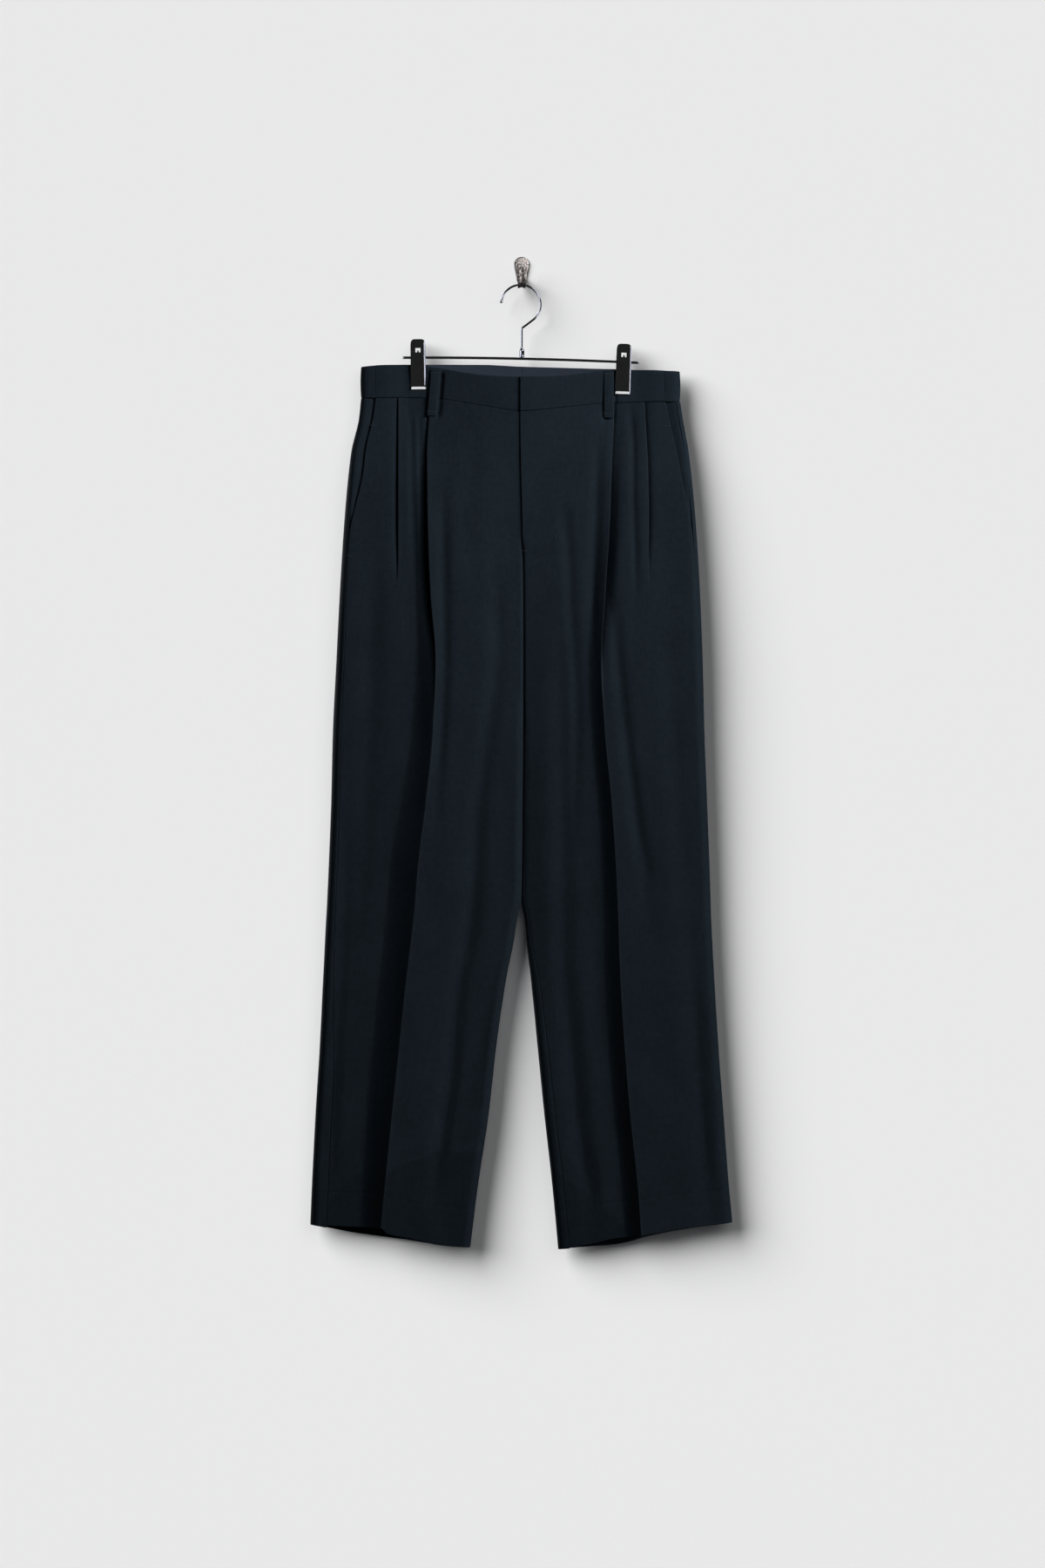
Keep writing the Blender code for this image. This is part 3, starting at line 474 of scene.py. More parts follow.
def clothFinish(name, lining):
    look = clothLook
    finish = Finish(name, {"Specular IOR Level": 0.09, "Sheen Weight": 0.012, "Sheen Roughness": 0.45,
                           "Sheen Tint": (0.55, 0.70, 0.95, 1)})
    weave = finish.add("ShaderNodeUVMap", {"uv_map": "weave"}, {})
    u = finish.add("ShaderNodeSeparateXYZ", {}, {0: weave}, "X")
    v = finish.add("ShaderNodeSeparateXYZ", {}, {0: weave}, "Y")
    wander = finish.noise(weave, 45.0, 2.0) * 0.6
    diagonal = (u + v * look["waleSlope"]) * (math.tau / look["waleWidth"]) + wander
    wale = diagonal.work("SINE", diagonal) * 0.5 + 0.5
    cross = u * (math.tau / (look["waleWidth"] * look["crossShare"]))
    thread = cross.work("SINE", cross) * 0.5 + 0.5
    warp = finish.noise(finish.stretch(weave, (1.0, 0.035, 1.0)), 900.0, 2.0)
    fibre = finish.noise(weave, 2600.0, 2.0, 0.7)
    mottle = finish.noise(weave, 160.0, 4.0, 0.62)
    slow = finish.noise(weave, 16.0, 3.0, 0.5)
    # a mask of rubbed wear and painted highlight: it lightens the colour towards the pressed colour and
    # lowers the roughness
    wearAndHighlight = finish.add("ShaderNodeAttribute", {"attribute_name": "wearAndHighlight"}, {}, "Fac")
    tone = wale * 0.22 + warp * 0.24 + fibre * 0.24 + mottle * 0.34 + slow * 0.22 - 0.13
    colour = finish.blend(finish.between(tone, 0.26, 0.74), look["dark"], look["light"])
    colour = finish.blend(wearAndHighlight * 0.55, colour, look["pressed"])
    if lining:
        inside = finish.add("ShaderNodeAttribute", {"attribute_name": "inside"}, {}, "Fac")
        liningTone = finish.blend(thread * 0.3 + warp * 0.5, look["liningDark"], look["liningLight"])
        colour = finish.blend(inside, colour, liningTone)
    finish.feed("Base Color", colour)
    finish.feed("Roughness", look["roughness"] + (mottle - 0.5) * 0.14 - wearAndHighlight * 0.12)
    height = wale * 0.55 + thread * wale * 0.2 + fibre * 0.35 + warp * 0.25 + mottle * 1.2
    finish.bump(height, look["waleHeight"])
    return finish.material


def threadFinish():
    finish = Finish("tackThread", {"Specular IOR Level": 0.3, "Sheen Weight": 0.05})
    place = finish.add("ShaderNodeTexCoord", {}, {}, "Object")
    twist = finish.noise(finish.stretch(place, (1.0, 1.0, 3.0)), 2400.0, 2.0)
    finish.feed("Base Color", finish.blend(twist, (0.0045, 0.0075, 0.0110, 1), (0.013, 0.020, 0.029, 1)))
    finish.feed("Roughness", 0.6 + twist * 0.2)
    finish.bump(twist, 0.00006)
    return finish.material


def chromeFinish():
    finish = Finish("clipChrome", {"Metallic": 1.0, "IOR": 1.5})
    place = finish.add("ShaderNodeTexCoord", {}, {}, "Object")
    smudge = finish.noise(place, 110.0, 4.0, 0.6)
    scratch = finish.noise(finish.stretch(place, (1.0, 1.0, 0.06)), 3400.0, 2.0)
    mask = finish.between(smudge, 0.46, 0.70)
    finish.feed("Base Color", finish.blend(mask, (0.80, 0.81, 0.83, 1), (0.66, 0.67, 0.69, 1)))
    finish.feed("Roughness", 0.045 + mask * 0.12 + scratch * 0.05)
    finish.bump(scratch * 0.3 + smudge, 0.00003)
    return finish.material


def nickelFinish():
    finish = Finish("hookNickel", {"Metallic": 1.0})
    place = finish.add("ShaderNodeTexCoord", {}, {}, "Object")
    fleck = finish.noise(place, 480.0, 3.0, 0.72)
    cloud = finish.noise(place, 210.0, 4.0, 0.6)
    grain = finish.between(fleck, 0.43, 0.58)
    warm = finish.blend(grain, (0.13, 0.105, 0.095, 1), (0.88, 0.82, 0.79, 1))
    finish.feed("Base Color", finish.blend(finish.between(cloud, 0.52, 0.72), warm, (0.30, 0.25, 0.23, 1)))
    finish.feed("Roughness", 0.28 + grain * 0.12 + cloud * 0.12)
    finish.bump(fleck + cloud * 0.6, 0.00055)
    return finish.material


cloth = clothFinish("navyTwill", False)
linedCloth = clothFinish("navyTwillLined", True)
thread = threadFinish()
chrome = chromeFinish()
nickel = nickelFinish()
print("finishes made")


pieces = {}


def keepMesh(name, points, faces, material, slotName):
    mesh = bpy.data.meshes.new(name)
    mesh.from_pydata((np.asarray(points) * mm).tolist(), [], [tuple(f) for f in faces])
    mesh.materials.append(material)
    mesh.shade_smooth()
    made = newObject(name, mesh)
    pieces[name] = (made, slotName)
    return made


def mark(mesh, name, values):
    layer = mesh.attributes.new(name, "FLOAT", "POINT")
    layer.data.foreach_set("value", np.asarray(values, np.float32).ravel())


def lengths(grid, axis):
    # distance along the cloth from its first row or column
    step = np.linalg.norm(np.diff(grid, axis=axis), axis=2)
    pad = [(0, 0), (0, 0)]
    pad[axis] = (1, 0)
    return np.cumsum(np.pad(step, pad), axis=axis)


def rolled(distance, radius):
    # how far a rounded edge draws back at a distance from its end
    near = np.minimum(distance, radius)
    return radius - np.sqrt(np.maximum(radius ** 2 - (radius - near) ** 2, 0))


def makeWall(name, skin, wall, insideIs, edges, material, inner=None, wearAndHighlight=None, anchor=0):
    # skin is the outer face, row by row; edges are the radii of the top, bottom, first and last edge
    high, wide = skin.shape[:2]
    along = np.gradient(skin, axis=1)
    down = np.gradient(skin, axis=0)
    inward = np.cross(along, down) * insideIs
    inward /= np.linalg.norm(inward, axis=2, keepdims=True)
    wall = np.broadcast_to(np.asarray(wall, float), (high, wide))[..., None]
    core = skin + inward * wall
    if inner is not None:
        core = np.where(np.isnan(inner), core, inner)
    across = lengths(skin, 1)
    fall = lengths(skin, 0)
    top, bottom, first, last = edges
    push = np.maximum.reduce([rolled(fall, top), rolled(fall[-1:] - fall, bottom),
                              rolled(across, first), rolled(across[:, -1:] - across, last)])
    push = np.minimum(push[..., None], wall / 2 - 0.05)
    outer = skin + inward * push
    core = core - inward * push
    n = np.arange(high * wide).reshape(high, wide)
    a, b, c, d = n[:-1, :-1], n[:-1, 1:], n[1:, 1:], n[1:, :-1]
    front = np.stack([a, b, c, d], axis=-1).reshape(-1, 4)
    back = front[:, ::-1] + high * wide
    ring = np.concatenate([n[0, :-1], n[:-1, -1], n[-1, :0:-1], n[:0:-1, 0]])
    ahead = np.roll(ring, -1)
    rim = np.stack([ahead, ring, ring + high * wide, ahead + high * wide], axis=-1)
    faces = np.concatenate([front, back, rim])
    if insideIs > 0:
        faces = faces[:, ::-1]
    points = np.concatenate([outer.reshape(-1, 3), core.reshape(-1, 3)])
    mesh = keepMesh(name, points, faces, material, "cloth").data
    u = across - across[:, anchor:anchor + 1]
    v = np.broadcast_to(-skin[:, :, 2], u.shape)
    flat = np.tile(np.stack([u, v], axis=-1).reshape(-1, 2) * mm, (2, 1))
    order = np.empty(len(mesh.loops), np.int32)
    mesh.loops.foreach_get("vertex_index", order)
    mesh.uv_layers.new(name="weave").data.foreach_set("uv", flat[order].astype(np.float32).ravel())
    none = np.zeros(high * wide)
    # the mask of rubbed wear and painted highlight lies on the outer face only
    mark(mesh, "wearAndHighlight", np.concatenate([none if wearAndHighlight is None else wearAndHighlight.ravel(), none]))
    mark(mesh, "inside", np.concatenate([none, none + 1]))


legs = {
    "rowStep": 5.2,
    "sideColumns": 24,
    "middleColumns": 24,
    "innerColumns": 64,
    "backColumns": 44,
    "edges": (0.85, 0.9, 0.75, 0.75),     # radii of the top, bottom, side and inner edge
    "tuck": 3.2,          # how far a pleat's fold laps over the cloth beside it
    "foldRadius": 0.55,
    "ditch": 1.3,         # how far the cloth sinks right beside a fold
    "firstFade": (375, 310),      # where each pleat's fold opens out, from below
    "secondFade": (262, 205),
    "hemTurnUp": 0.7,     # extra thickness below the hem's stitch line
    "stitchDip": 0.32,
}
nearSeam = np.array([0, 0.12, 0.35, 0.7, 1.3, 2.2])
seamStep = nearSeam[-1]
firstRow, lastRow = 39.0, 1047.0
hemLine = lastRow - trousers["hemAllowance"]
rows = np.concatenate([firstRow + nearSeam, np.arange(firstRow + 4.5, hemLine - 3, legs["rowStep"]),
                       hemLine + np.array([-2.4, -1.6, -0.8, 0, 0.8, 1.6, 2.4]),
                       np.arange(hemLine + 6, lastRow - 4, legs["rowStep"]), lastRow - nearSeam[::-1]])

# columns beside the back's crease, and those of a pleat laid flat, outwards from its line; the first
# ones lie on the cloth that the fold laps over, the last ones on top
nearCrease = np.array([-3, -1.6, -0.7, 0, 0.7, 1.6, 3])
flatColumns = np.array([2.5, 2.1, 1.7, 1.3, 1.0, 0.7, 0.4, 0.15, -0.1, -0.35, -0.6, -1.2, -3.0])
foldTurns = np.radians([-60, -30, 0, 30, 60])       # round the fold's edge
# the folded pleat's inner face: share of the sinking, and place, of each column
foldedCore = np.array([1, 1, 1, 1, 1, 0.95, 0.85, 0.7, 0.5, 0.3, 0.15, 0.05, 0])
foldedCoreX = np.array([2.5, 0.6, 0, -0.2, -0.4, -0.6, -0.8, -1.0, -1.2, -1.4, -1.6, -1.8, -3.2])


def pick(drop, low, high):
    # a strip's columns, or the one column that stands for all
    return drop if drop.shape[1] == 1 else drop[:, low:high]


def spread(x, face):
    # columns away from the edges have the whole depth
    return x, 1.0 + 0 * x, face + 0 * x


def sideStrip(leg, face, line, margin, n, d):
    # columns from the side seam towards a line
    side = read(outline, leg + "Side", d)
    start = arcOf(read(seams, leg + ("Front" if face > 0 else "Back"), d)) + face * halfGap
    stop = face * arcOf(np.abs(line - side) - margin)
    flag = np.concatenate([0 * nearSeam, np.arange(1, n + 1) / n])
    step = np.concatenate([nearSeam, np.full(n, seamStep)])
    inside, share, where = onEdge(start + face * step + (stop - start - face * seamStep) * flag)
    return side + inwardOf[leg] * inside, share, where


def innerStrip(leg, face, line, margin, n, d):
    # columns from a line to the inseam, or to the centre seam above it
    closed = ease(trousers["crotchTop"], trousers["crotchFoot"], d)
    inner = read(outline, leg + "Inner", d) - inwardOf[leg] * halfGap * (1 - closed)
    if face < 0:
        inner = inner + trousers["backSeamShift"] * (1 - closed)
    elif leg == "right":
        inner = inner + trousers["flyLap"] * ease(trousers["flyDrop"] - 4, trousers["flyDrop"] - 22, d)
    start = face * arcOf(np.abs(line - inner) - margin)
    end = (arcOf(read(seams, leg + "Inseam", d)) + face * halfGap) * closed
    t = np.concatenate([1 - (1 - np.arange(n) / n) ** 1.3, 1 + 0 * nearSeam])
    step = np.concatenate([np.full(n, seamStep), nearSeam[::-1]])
    inside, share, where = onEdge(mix(start, end + face * step, t))
    share = mix(1.0, innerShare(share, d), closed)
    return inner - inwardOf[leg] * inside, share, np.where(closed > 0, where, face)


def legPlaces(leg, face, drop):
    # x, share of the depth and face of every column, from the side seam to the inner seam
    inward = inwardOf[leg]
    seam, fold = len(nearSeam), len(flatColumns)
    if face > 0:
        sizes = [seam + legs["sideColumns"], fold, legs["middleColumns"], fold, legs["innerColumns"] + seam]
    else:
        sizes = [seam + legs["backColumns"], len(nearCrease), legs["backColumns"] + seam]
    ends = np.cumsum([0] + sizes)
    d = [pick(drop, low, high) for low, high in zip(ends, ends[1:])]
    crease = [creaseX(leg, face, k) for k in d]
    if face > 0:
        second = [read(pleats, leg + "Second", k) for k in d]
        middle = mix(second[2] + inward * 7.5, crease[2] - inward * 4.5, np.linspace(0, 1, sizes[2]))
        parts = [sideStrip(leg, 1, second[0], 4.5, legs["sideColumns"], d[0]),
                 spread(second[1] - inward * flatColumns, 1.0), spread(middle, 1.0),
                 spread(crease[3] - inward * flatColumns, 1.0),
                 innerStrip(leg, 1, crease[4], 7.5, legs["innerColumns"], d[4])]
    else:
        parts = [sideStrip(leg, -1, crease[0], 6, legs["backColumns"], d[0]),
                 spread(crease[1] + inward * nearCrease, -1.0),
                 innerStrip(leg, -1, crease[2], 6, legs["backColumns"], d[2])]
    columns = [np.concatenate([np.broadcast_to(part[k], part[0].shape) for part in parts], axis=1)
               for k in range(3)]
    return columns, ends


def legDrop(leg, face, x, nominal):
    # a row's height at x, after the waist seam and the hem
    top = read(bandEdges, "frontSeam" if face > 0 else "backSeam", x) - firstRow
    side = read(outline, leg + "Side", nominal)
    inner = read(outline, leg + "Inner", nominal)
    across = np.clip((x - side) / (inner - side), 0, 1)
    hem = read(hems[leg, face], "drop", across) - lastRow
    return (nominal + (top + trousers["seamGap"]) * ease(150, firstRow, nominal)
            + hem * ease(880, lastRow, nominal))


def foldPleat(leg, x, depth, core, drop, low, which):
    # turns the flat columns from low on into a fold that laps over the cloth beside it
    away = -inwardOf[leg]
    name = "first" if which == 1 else "second"
    other = (2,) if which == 1 else (1,)
    count = len(flatColumns)
    span = slice(low, low + count)
    d = drop[:, span]
    line = creaseX(leg, 1, d) if which == 1 else read(pleats, leg + "Second", d)
    total = read(pleats, name + "Step", d) + read(pleats, name + "Hollow", d)
    amount = ease(*legs[name + "Fade"], d)
    r = np.clip((total - 0.15) / 2.6, 0.08, legs["foldRadius"])
    w = legs["tuck"] * ease(0.5, 1.6, total) + 0.6
    sunk = total + legs["ditch"] * ease(0.6, 2.0, total)
    out = [2.5 + 0 * w[:, 0], 1.0 + 0 * w[:, 1], -0.5 * w[:, 2], -w[:, 3], -w[:, 4] + 0.35, -r[:, 5] - 0.3]
    out += [r[:, 6 + k] * (math.cos(a) - 1) for k, a in enumerate(foldTurns)]
    out += [-r[:, 11] - 0.8, -w[:, 12] - 2.5]
    under = [0 * total[:, 0], sunk[:, 1], sunk[:, 2], total[:, 3] - 0.1, 2 * r[:, 4], 2 * r[:, 5]]
    under += [r[:, 6 + k] * (1 - math.sin(a)) for k, a in enumerate(foldTurns)]
    under += [0 * r[:, 11], 0 * r[:, 12]]
    foldedX = line + away * np.stack(out, axis=1)
    folded = frontDepth(leg, foldedX, d, other) - np.stack(under, axis=1)
    folded[:, 0] = frontDepth(leg, foldedX, d)[:, 0]
    coreAt = foldedCoreX + np.where(np.arange(count) > 1, -w, 0)
    coreX = line + away * coreAt
    coreDepth = frontDepth(leg, coreX, d, other) - sunk * foldedCore
    flatX, flatDepth = x[:, span].copy(), depth[:, span].copy()
    x[:, span] = mix(flatX, foldedX, amount)
    depth[:, span] = mix(flatDepth, folded, amount)
    coreX = mix(flatX, coreX, amount)
    coreDepth = mix(flatDepth, coreDepth, amount) - trousers["clothWall"]
    core[:, span] = np.stack([coreX, midY - coreDepth, waistZ - d], axis=-1)
    # gives back a mask for a painted highlight on the fold's rounded edge
    return amount * np.exp(-(np.abs(np.arange(count) - 8.5) / 2.6) ** 2)


def makeLeg(leg, face):
    nominal = rows[:, None]
    (x, share, where), ends = legPlaces(leg, face, nominal)
    drop = legDrop(leg, face, x, nominal)
    (x, share, where), ends = legPlaces(leg, face, drop)
    depth = np.where(where > 0, frontDepth(leg, x, drop), backDepth(leg, x, drop))
    core = np.full(x.shape + (3,), np.nan)
    crease = creaseX(leg, face, drop)
    # lighter along the pressed crease: rubbed wear together with a painted highlight
    wearAndHighlight = np.exp(-np.abs(x - crease) / 1.6) * ease(230, 330, drop) * (0.9 if face > 0 else 0.6)
    stitched = np.exp(-((nominal - hemLine) / 1.1) ** 2) * (0.55 + 0.45 * np.sin(x / 1.35))
    depth = depth - legs["stitchDip"] * stitched
    if face > 0:
        if leg == "left":
            depth = depth + flyLift(x, drop, trousers["flyWall"])
        for low, which in ((ends[1], 2), (ends[3], 1)):
            # each fold's rounded edge gets a painted highlight
            foldHighlight = foldPleat(leg, x, depth, core, drop, low, which)
            span = slice(low, low + len(flatColumns))
            wearAndHighlight[:, span] = np.maximum(wearAndHighlight[:, span], 0.8 * foldHighlight)
    skin = np.stack([x, midY - where * depth * share, waistZ - drop], axis=-1)
    wall = trousers["clothWall"] + legs["hemTurnUp"] * ease(hemLine - 1, hemLine + 1, nominal) + 0 * x
    # lighter along the hem's folded bottom edge, in the mask of wear and painted highlight
    wearAndHighlight = np.maximum(wearAndHighlight, 0.5 * ease(lastRow - 2.0, lastRow - 0.3, nominal) + 0 * x)
    name, anchor = ("front_", ends[3] + 8) if face > 0 else ("back_", ends[1] + 3)
    makeWall(name + leg, skin, wall, inwardOf[leg] * face, legs["edges"], cloth, core if face > 0 else None,
             wearAndHighlight, anchor)


band = {
    "wall": 2.4,
    "columns": 120,
    "rowStep": 3.1,
    "height": 38.0,
    "edges": (1.1, 0.95, 0.7, 0.7),
    "frontBow": (7.5, 3.0),       # how far it bows out between the clips and at the sides
    "backBow": (8.0, 4.5),
    "sideBulge": 0.9,
    "flyWall": 2.8,
    "gather": 0.22,
    "waviness": 0.16,
}


def bandRows():
    near = np.array([0, 0.2, 0.5, 0.95, 1.6]) / band["height"]
    body = np.arange(3.4, band["height"] - 2, band["rowStep"]) / band["height"]
    return np.concatenate([near, body, 1 - near[::-1]])[:, None]


def makeBand(leg, face, lift):
    # both bands start at the side seam; the back one wraps round the edge to the front
    inward = inwardOf[leg]
    part = "front" if face > 0 else "back"
    side = float(read(outline, leg + "Side", firstRow))
    inner = float(read(outline, leg + "Inner", firstRow)) - inward * halfGap
    if face < 0:
        inner += trousers["backSeamShift"]
    elif leg == "right":
        inner += trousers["flyLap"]
    start = float(arcOf(read(seams, leg + "Front", firstRow))) + face * halfGap
    stop = face * float(arcOf(abs(inner - side)))
    near = face * nearSeam
    body = np.linspace(start + face * 4, stop - face * 4, band["columns"])
    inside, share, where = onEdge(np.concatenate([start + near, body, stop - near[::-1]])[None, :])
    t = bandRows()
    middle = np.sin(math.pi * t)
    x = side + inward * inside + 0 * t
    drop = mix(read(bandEdges, part + "Top", x), read(bandEdges, part + "Seam", x), t)
    full = np.where(where > 0, np.maximum(bandDepth(1, x) - loopDitch(x, drop), band["wall"] / 2),
                    bandDepth(-1, x))
    wall = np.minimum(band["wall"], full - halfGap)
    wave = band["waviness"] * np.sin(x / 17 + 2.4 * t + (1.0 if face > 0 else 2.6)) * middle
    gather = band["gather"] * np.sin(x / 3.7 + 5 * t) * ease(168, 184, np.abs(x)) * middle
    depth = (full + wave + gather) * share + flyLift(x, 0, lift)
    belly = middle * (1 - share) * band["sideBulge"]
    skin = np.stack([x - inward * belly, midY - where * depth, waistZ - drop], axis=-1)
    fall = t * band["height"]
    # lighter along the folded top edge and at the seam, in the mask of wear and painted highlight
    wearAndHighlight = 0.45 * np.exp(-fall / 1.1) + 0.1 * np.exp(fall - band["height"]) + 0 * x
    makeWall("band_" + part + "_" + leg, skin, wall, inward * face, band["edges"], linedCloth, None, wearAndHighlight,
             x.shape[1] // 2)


def makeFacing(leg):
    # the facing shows behind the slanted pocket mouth
    inward = inwardOf[leg]
    under = trousers["clothWall"] + trousers["seamGap"] + 0.05
    nominal = np.concatenate([[39.05, 39.6, 41], np.arange(45, 217, 4.0), [217.2, 218]])[:, None]
    side = read(outline, leg + "Side", nominal)
    drop = legDrop(leg, -1, side, nominal)
    seam = arcOf(read(seams, leg + "Back", drop)) + halfGap
    mouth = arcOf(read(seams, leg + "Front", drop))
    flush = ease(1, 9, mouth - seam)
    seam = seam + 2.0 * (1 - flush)
    mouth = np.maximum(mouth - 0.3, seam + 1.5)
    t = np.array([0, 0.04, 0.12, 0.25, 0.45, 0.65, 0.85])
    arc = np.concatenate([mix(seam, mouth, t), mouth + np.array([0, 2.5, 6, 11, 16])], axis=1)
    middle = mix(under, 1.1, flush)
    half = mix(mix(under, 0.0, flush), middle, np.minimum(t, 0.5) * 2)
    step = trousers["mouthStep"] * ease(2, 12, mouth - seam)
    rest = mix(middle, under + step, np.maximum(t - 0.5, 0) * 2)
    recess = np.concatenate([np.where(t < 0.5, half, rest), np.tile(under + step, (1, 5))], axis=1)
    inside, share, _ = onEdge(arc)
    x = side + inward * inside
    drop = drop + 0 * x
    depth = frontDepth(leg, x, drop) * share - recess
    skin = np.stack([x, midY - depth, waistZ - drop], axis=-1)
    makeWall("pocket_facing_" + leg, skin, trousers["clothWall"], inward, (0.2, 0.4, 0.2, 0.4), cloth,
             anchor=3)


loopSkins = {}


def makeLoop(name, face, topX, footX, top, foot):
    leg = "right" if topX < 0 else "left"
    t = np.concatenate([[0, 0.004, 0.012, 0.025, 0.045], np.linspace(0.07, 0.93, 30),
                        [0.955, 0.975, 0.988, 0.996, 1]])[:, None]
    drop = mix(top, foot, t)
    bow = beltLoops["bow"] * ease(0.06, 0.3, t) * ease(0.94, 0.7, t)
    w = beltLoops["width"] / 2
    off = np.array([-w, -w + 0.15, -w + 0.45, -w + 0.9, -3, 0, 3, w - 0.9, w - 0.45, w - 0.15, w])
    across = mix(topX, footX, t) + off
    reach = bandDepth(face, across)
    panel = (frontDepth if face > 0 else backDepth)(leg, across, drop + 0 * across) + trousers["seamGap"]
    reach = np.max(np.where(drop > beltLoops["bandFoot"], np.maximum(reach, panel), reach),
                   axis=1, keepdims=True)
    rounding = 0.5 * (1 - np.cos(off / w * 1.2))
    depth = reach + trousers["seamGap"] + bow + beltLoops["wall"] - rounding
    skin = np.stack([across, midY - face * depth, waistZ - drop + 0 * across], axis=-1)
    loopSkins[name] = skin
    # lighter along the loop's folded edges, in the mask of wear and painted highlight
    wearAndHighlight = 0.5 * np.exp((np.abs(off) - w) / 0.7) + 0 * across
    makeWall(name, skin, beltLoops["wall"], face, (beltLoops["edge"],) * 4, cloth, None, wearAndHighlight, 5)


for leg in ("right", "left"):
    for face in (1, -1):
        makeLeg(leg, face)
    makeBand(leg, 1, band["flyWall"] if leg == "left" else 0.0)
    makeBand(leg, -1, 0.0)
    makeFacing(leg)
for place in beltLoops["places"]:
    makeLoop(*place)
print("cloth made:", ", ".join(pieces))


def newTree(name, inputs):
    tree = bpy.data.node_groups.new(name, "GeometryNodeTree")
    tree.interface.new_socket("Geometry", in_out="INPUT", socket_type="NodeSocketGeometry")
    tree.interface.new_socket("Geometry", in_out="OUTPUT", socket_type="NodeSocketGeometry")
    for label, value in inputs.items():
        kind = "NodeSocketInt" if isinstance(value, int) else "NodeSocketFloat"
        tree.interface.new_socket(label, in_out="INPUT", socket_type=kind).default_value = value
    return tree


def finishTree(tree, geometry, material):
    real = addNode(tree, "GeometryNodeRealizeInstances", {}, {"Geometry": geometry})
    painted = addNode(tree, "GeometryNodeSetMaterial", {},
                      {"Geometry": real.outputs[0], "Material": material})
    addNode(tree, "NodeGroupOutput", {}, {"Geometry": painted.outputs[0]})


def grow(made, tree, values):
    # runs a tree on an object and keeps the plain mesh that comes out
    modifier = made.modifiers.new("grow", "NODES")
    modifier.node_group = tree
    sockets = {item.name: item.identifier for item in tree.interface.items_tree if item.in_out == "INPUT"}
    for label, value in values.items():
        modifier[sockets[label]] = value
    evaluated = made.evaluated_get(bpy.context.evaluated_depsgraph_get())
    mesh = bpy.data.meshes.new_from_object(evaluated)
    made.modifiers.remove(modifier)
    old = made.data
    made.data = mesh
    bpy.data.meshes.remove(old)
    mesh.name = made.name


tacks = {
    "spacing": 0.42,
    "threadLength": 1.7,
    "threadRadius": 0.2,
    "unevenness": 0.12,
    "sunk": 0.08,         # how deep the loops' stitches lie in the cloth
    "seed": 7,
}


def stitchTree():
    tree = newTree("tackStitches", {
        "Spacing": tacks["spacing"] * mm, "Thread length": tacks["threadLength"] * mm,
        "Thread radius": tacks["threadRadius"] * mm, "Unevenness": tacks["unevenness"],
        "Facing": -1.0, "Seed": tacks["seed"]})
    given = tree.nodes.new("NodeGroupInput").outputs
    curve = addNode(tree, "GeometryNodeMeshToCurve", {}, {"Mesh": given["Geometry"]})
    dots = addNode(tree, "GeometryNodeResampleCurve", {"mode": "LENGTH"},
                   {"Curve": curve.outputs[0], "Length": given["Spacing"]})
    facing = addNode(tree, "ShaderNodeCombineXYZ", {}, {"Y": given["Facing"]})
    up = addNode(tree, "FunctionNodeAlignRotationToVector", {"axis": "Z"}, {"Vector": facing.outputs[0]})
    tangent = tree.nodes.new("GeometryNodeInputTangent")
    turned = addNode(tree, "FunctionNodeAlignRotationToVector", {"axis": "X", "pivot_axis": "Z"},
                     {"Rotation": up.outputs[0], "Vector": tangent.outputs[0]})
    low = addNode(tree, "ShaderNodeMath", {"operation": "SUBTRACT"}, {0: 1.0, 1: given["Unevenness"]})
    high = addNode(tree, "ShaderNodeMath", {"operation": "ADD"}, {0: 1.0, 1: given["Unevenness"]})
    chance = addNode(tree, "FunctionNodeRandomValue", {},
                     {2: low.outputs[0], 3: high.outputs[0], "Seed": given["Seed"]})
    long = addNode(tree, "ShaderNodeMath", {"operation": "MULTIPLY"}, {0: given["Thread length"], 1: 0.5})
    size = addNode(tree, "ShaderNodeCombineXYZ", {}, {"X": given["Thread radius"], "Y": long.outputs[0],
                                                     "Z": given["Thread radius"]})
    varied = addNode(tree, "ShaderNodeVectorMath", {"operation": "SCALE"},
                     {0: size.outputs[0], "Scale": chance.outputs[1]})
    bead = addNode(tree, "GeometryNodeMeshUVSphere", {}, {"Segments": 8, "Rings": 6, "Radius": 1.0})
    placed = addNode(tree, "GeometryNodeInstanceOnPoints", {},
                     {"Points": dots.outputs[0], "Instance": bead.outputs[0], "Rotation": turned.outputs[0],
                      "Scale": varied.outputs[0]})
    real = addNode(tree, "GeometryNodeRealizeInstances", {}, {"Geometry": placed.outputs[0]})
    smooth = addNode(tree, "GeometryNodeSetShadeSmooth", {}, {"Geometry": real.outputs[0]})
    finishTree(tree, smooth.outputs[0], thread)
    return tree


def onFront(leg, x, drop, lift=0.1):
    # a place on the front's outer face
    side = float(read(outline, leg + "Side", drop))
    _, share, _ = onEdge(arcOf(abs(side - x)))
    depth = float(frontDepth(leg, x, drop)) * float(share) + lift
    if leg == "left":
        depth += float(flyLift(x, drop, trousers["flyWall"]))
    return (x, midY - depth, waistZ - drop)


def makeStitches(name, lines, facing, tree):
    points = []
    edges = []
    for line in lines:
        edges += [(len(points) + k, len(points) + k + 1) for k in range(len(line) - 1)]
        points += line
    mesh = bpy.data.meshes.new(name)
    mesh.from_pydata((np.array(points) * mm).tolist(), edges, [])
    made = newObject(name, mesh)
    grow(made, tree, {"Facing": facing})
    pieces[name] = (made, "cloth")


stitches = stitchTree()
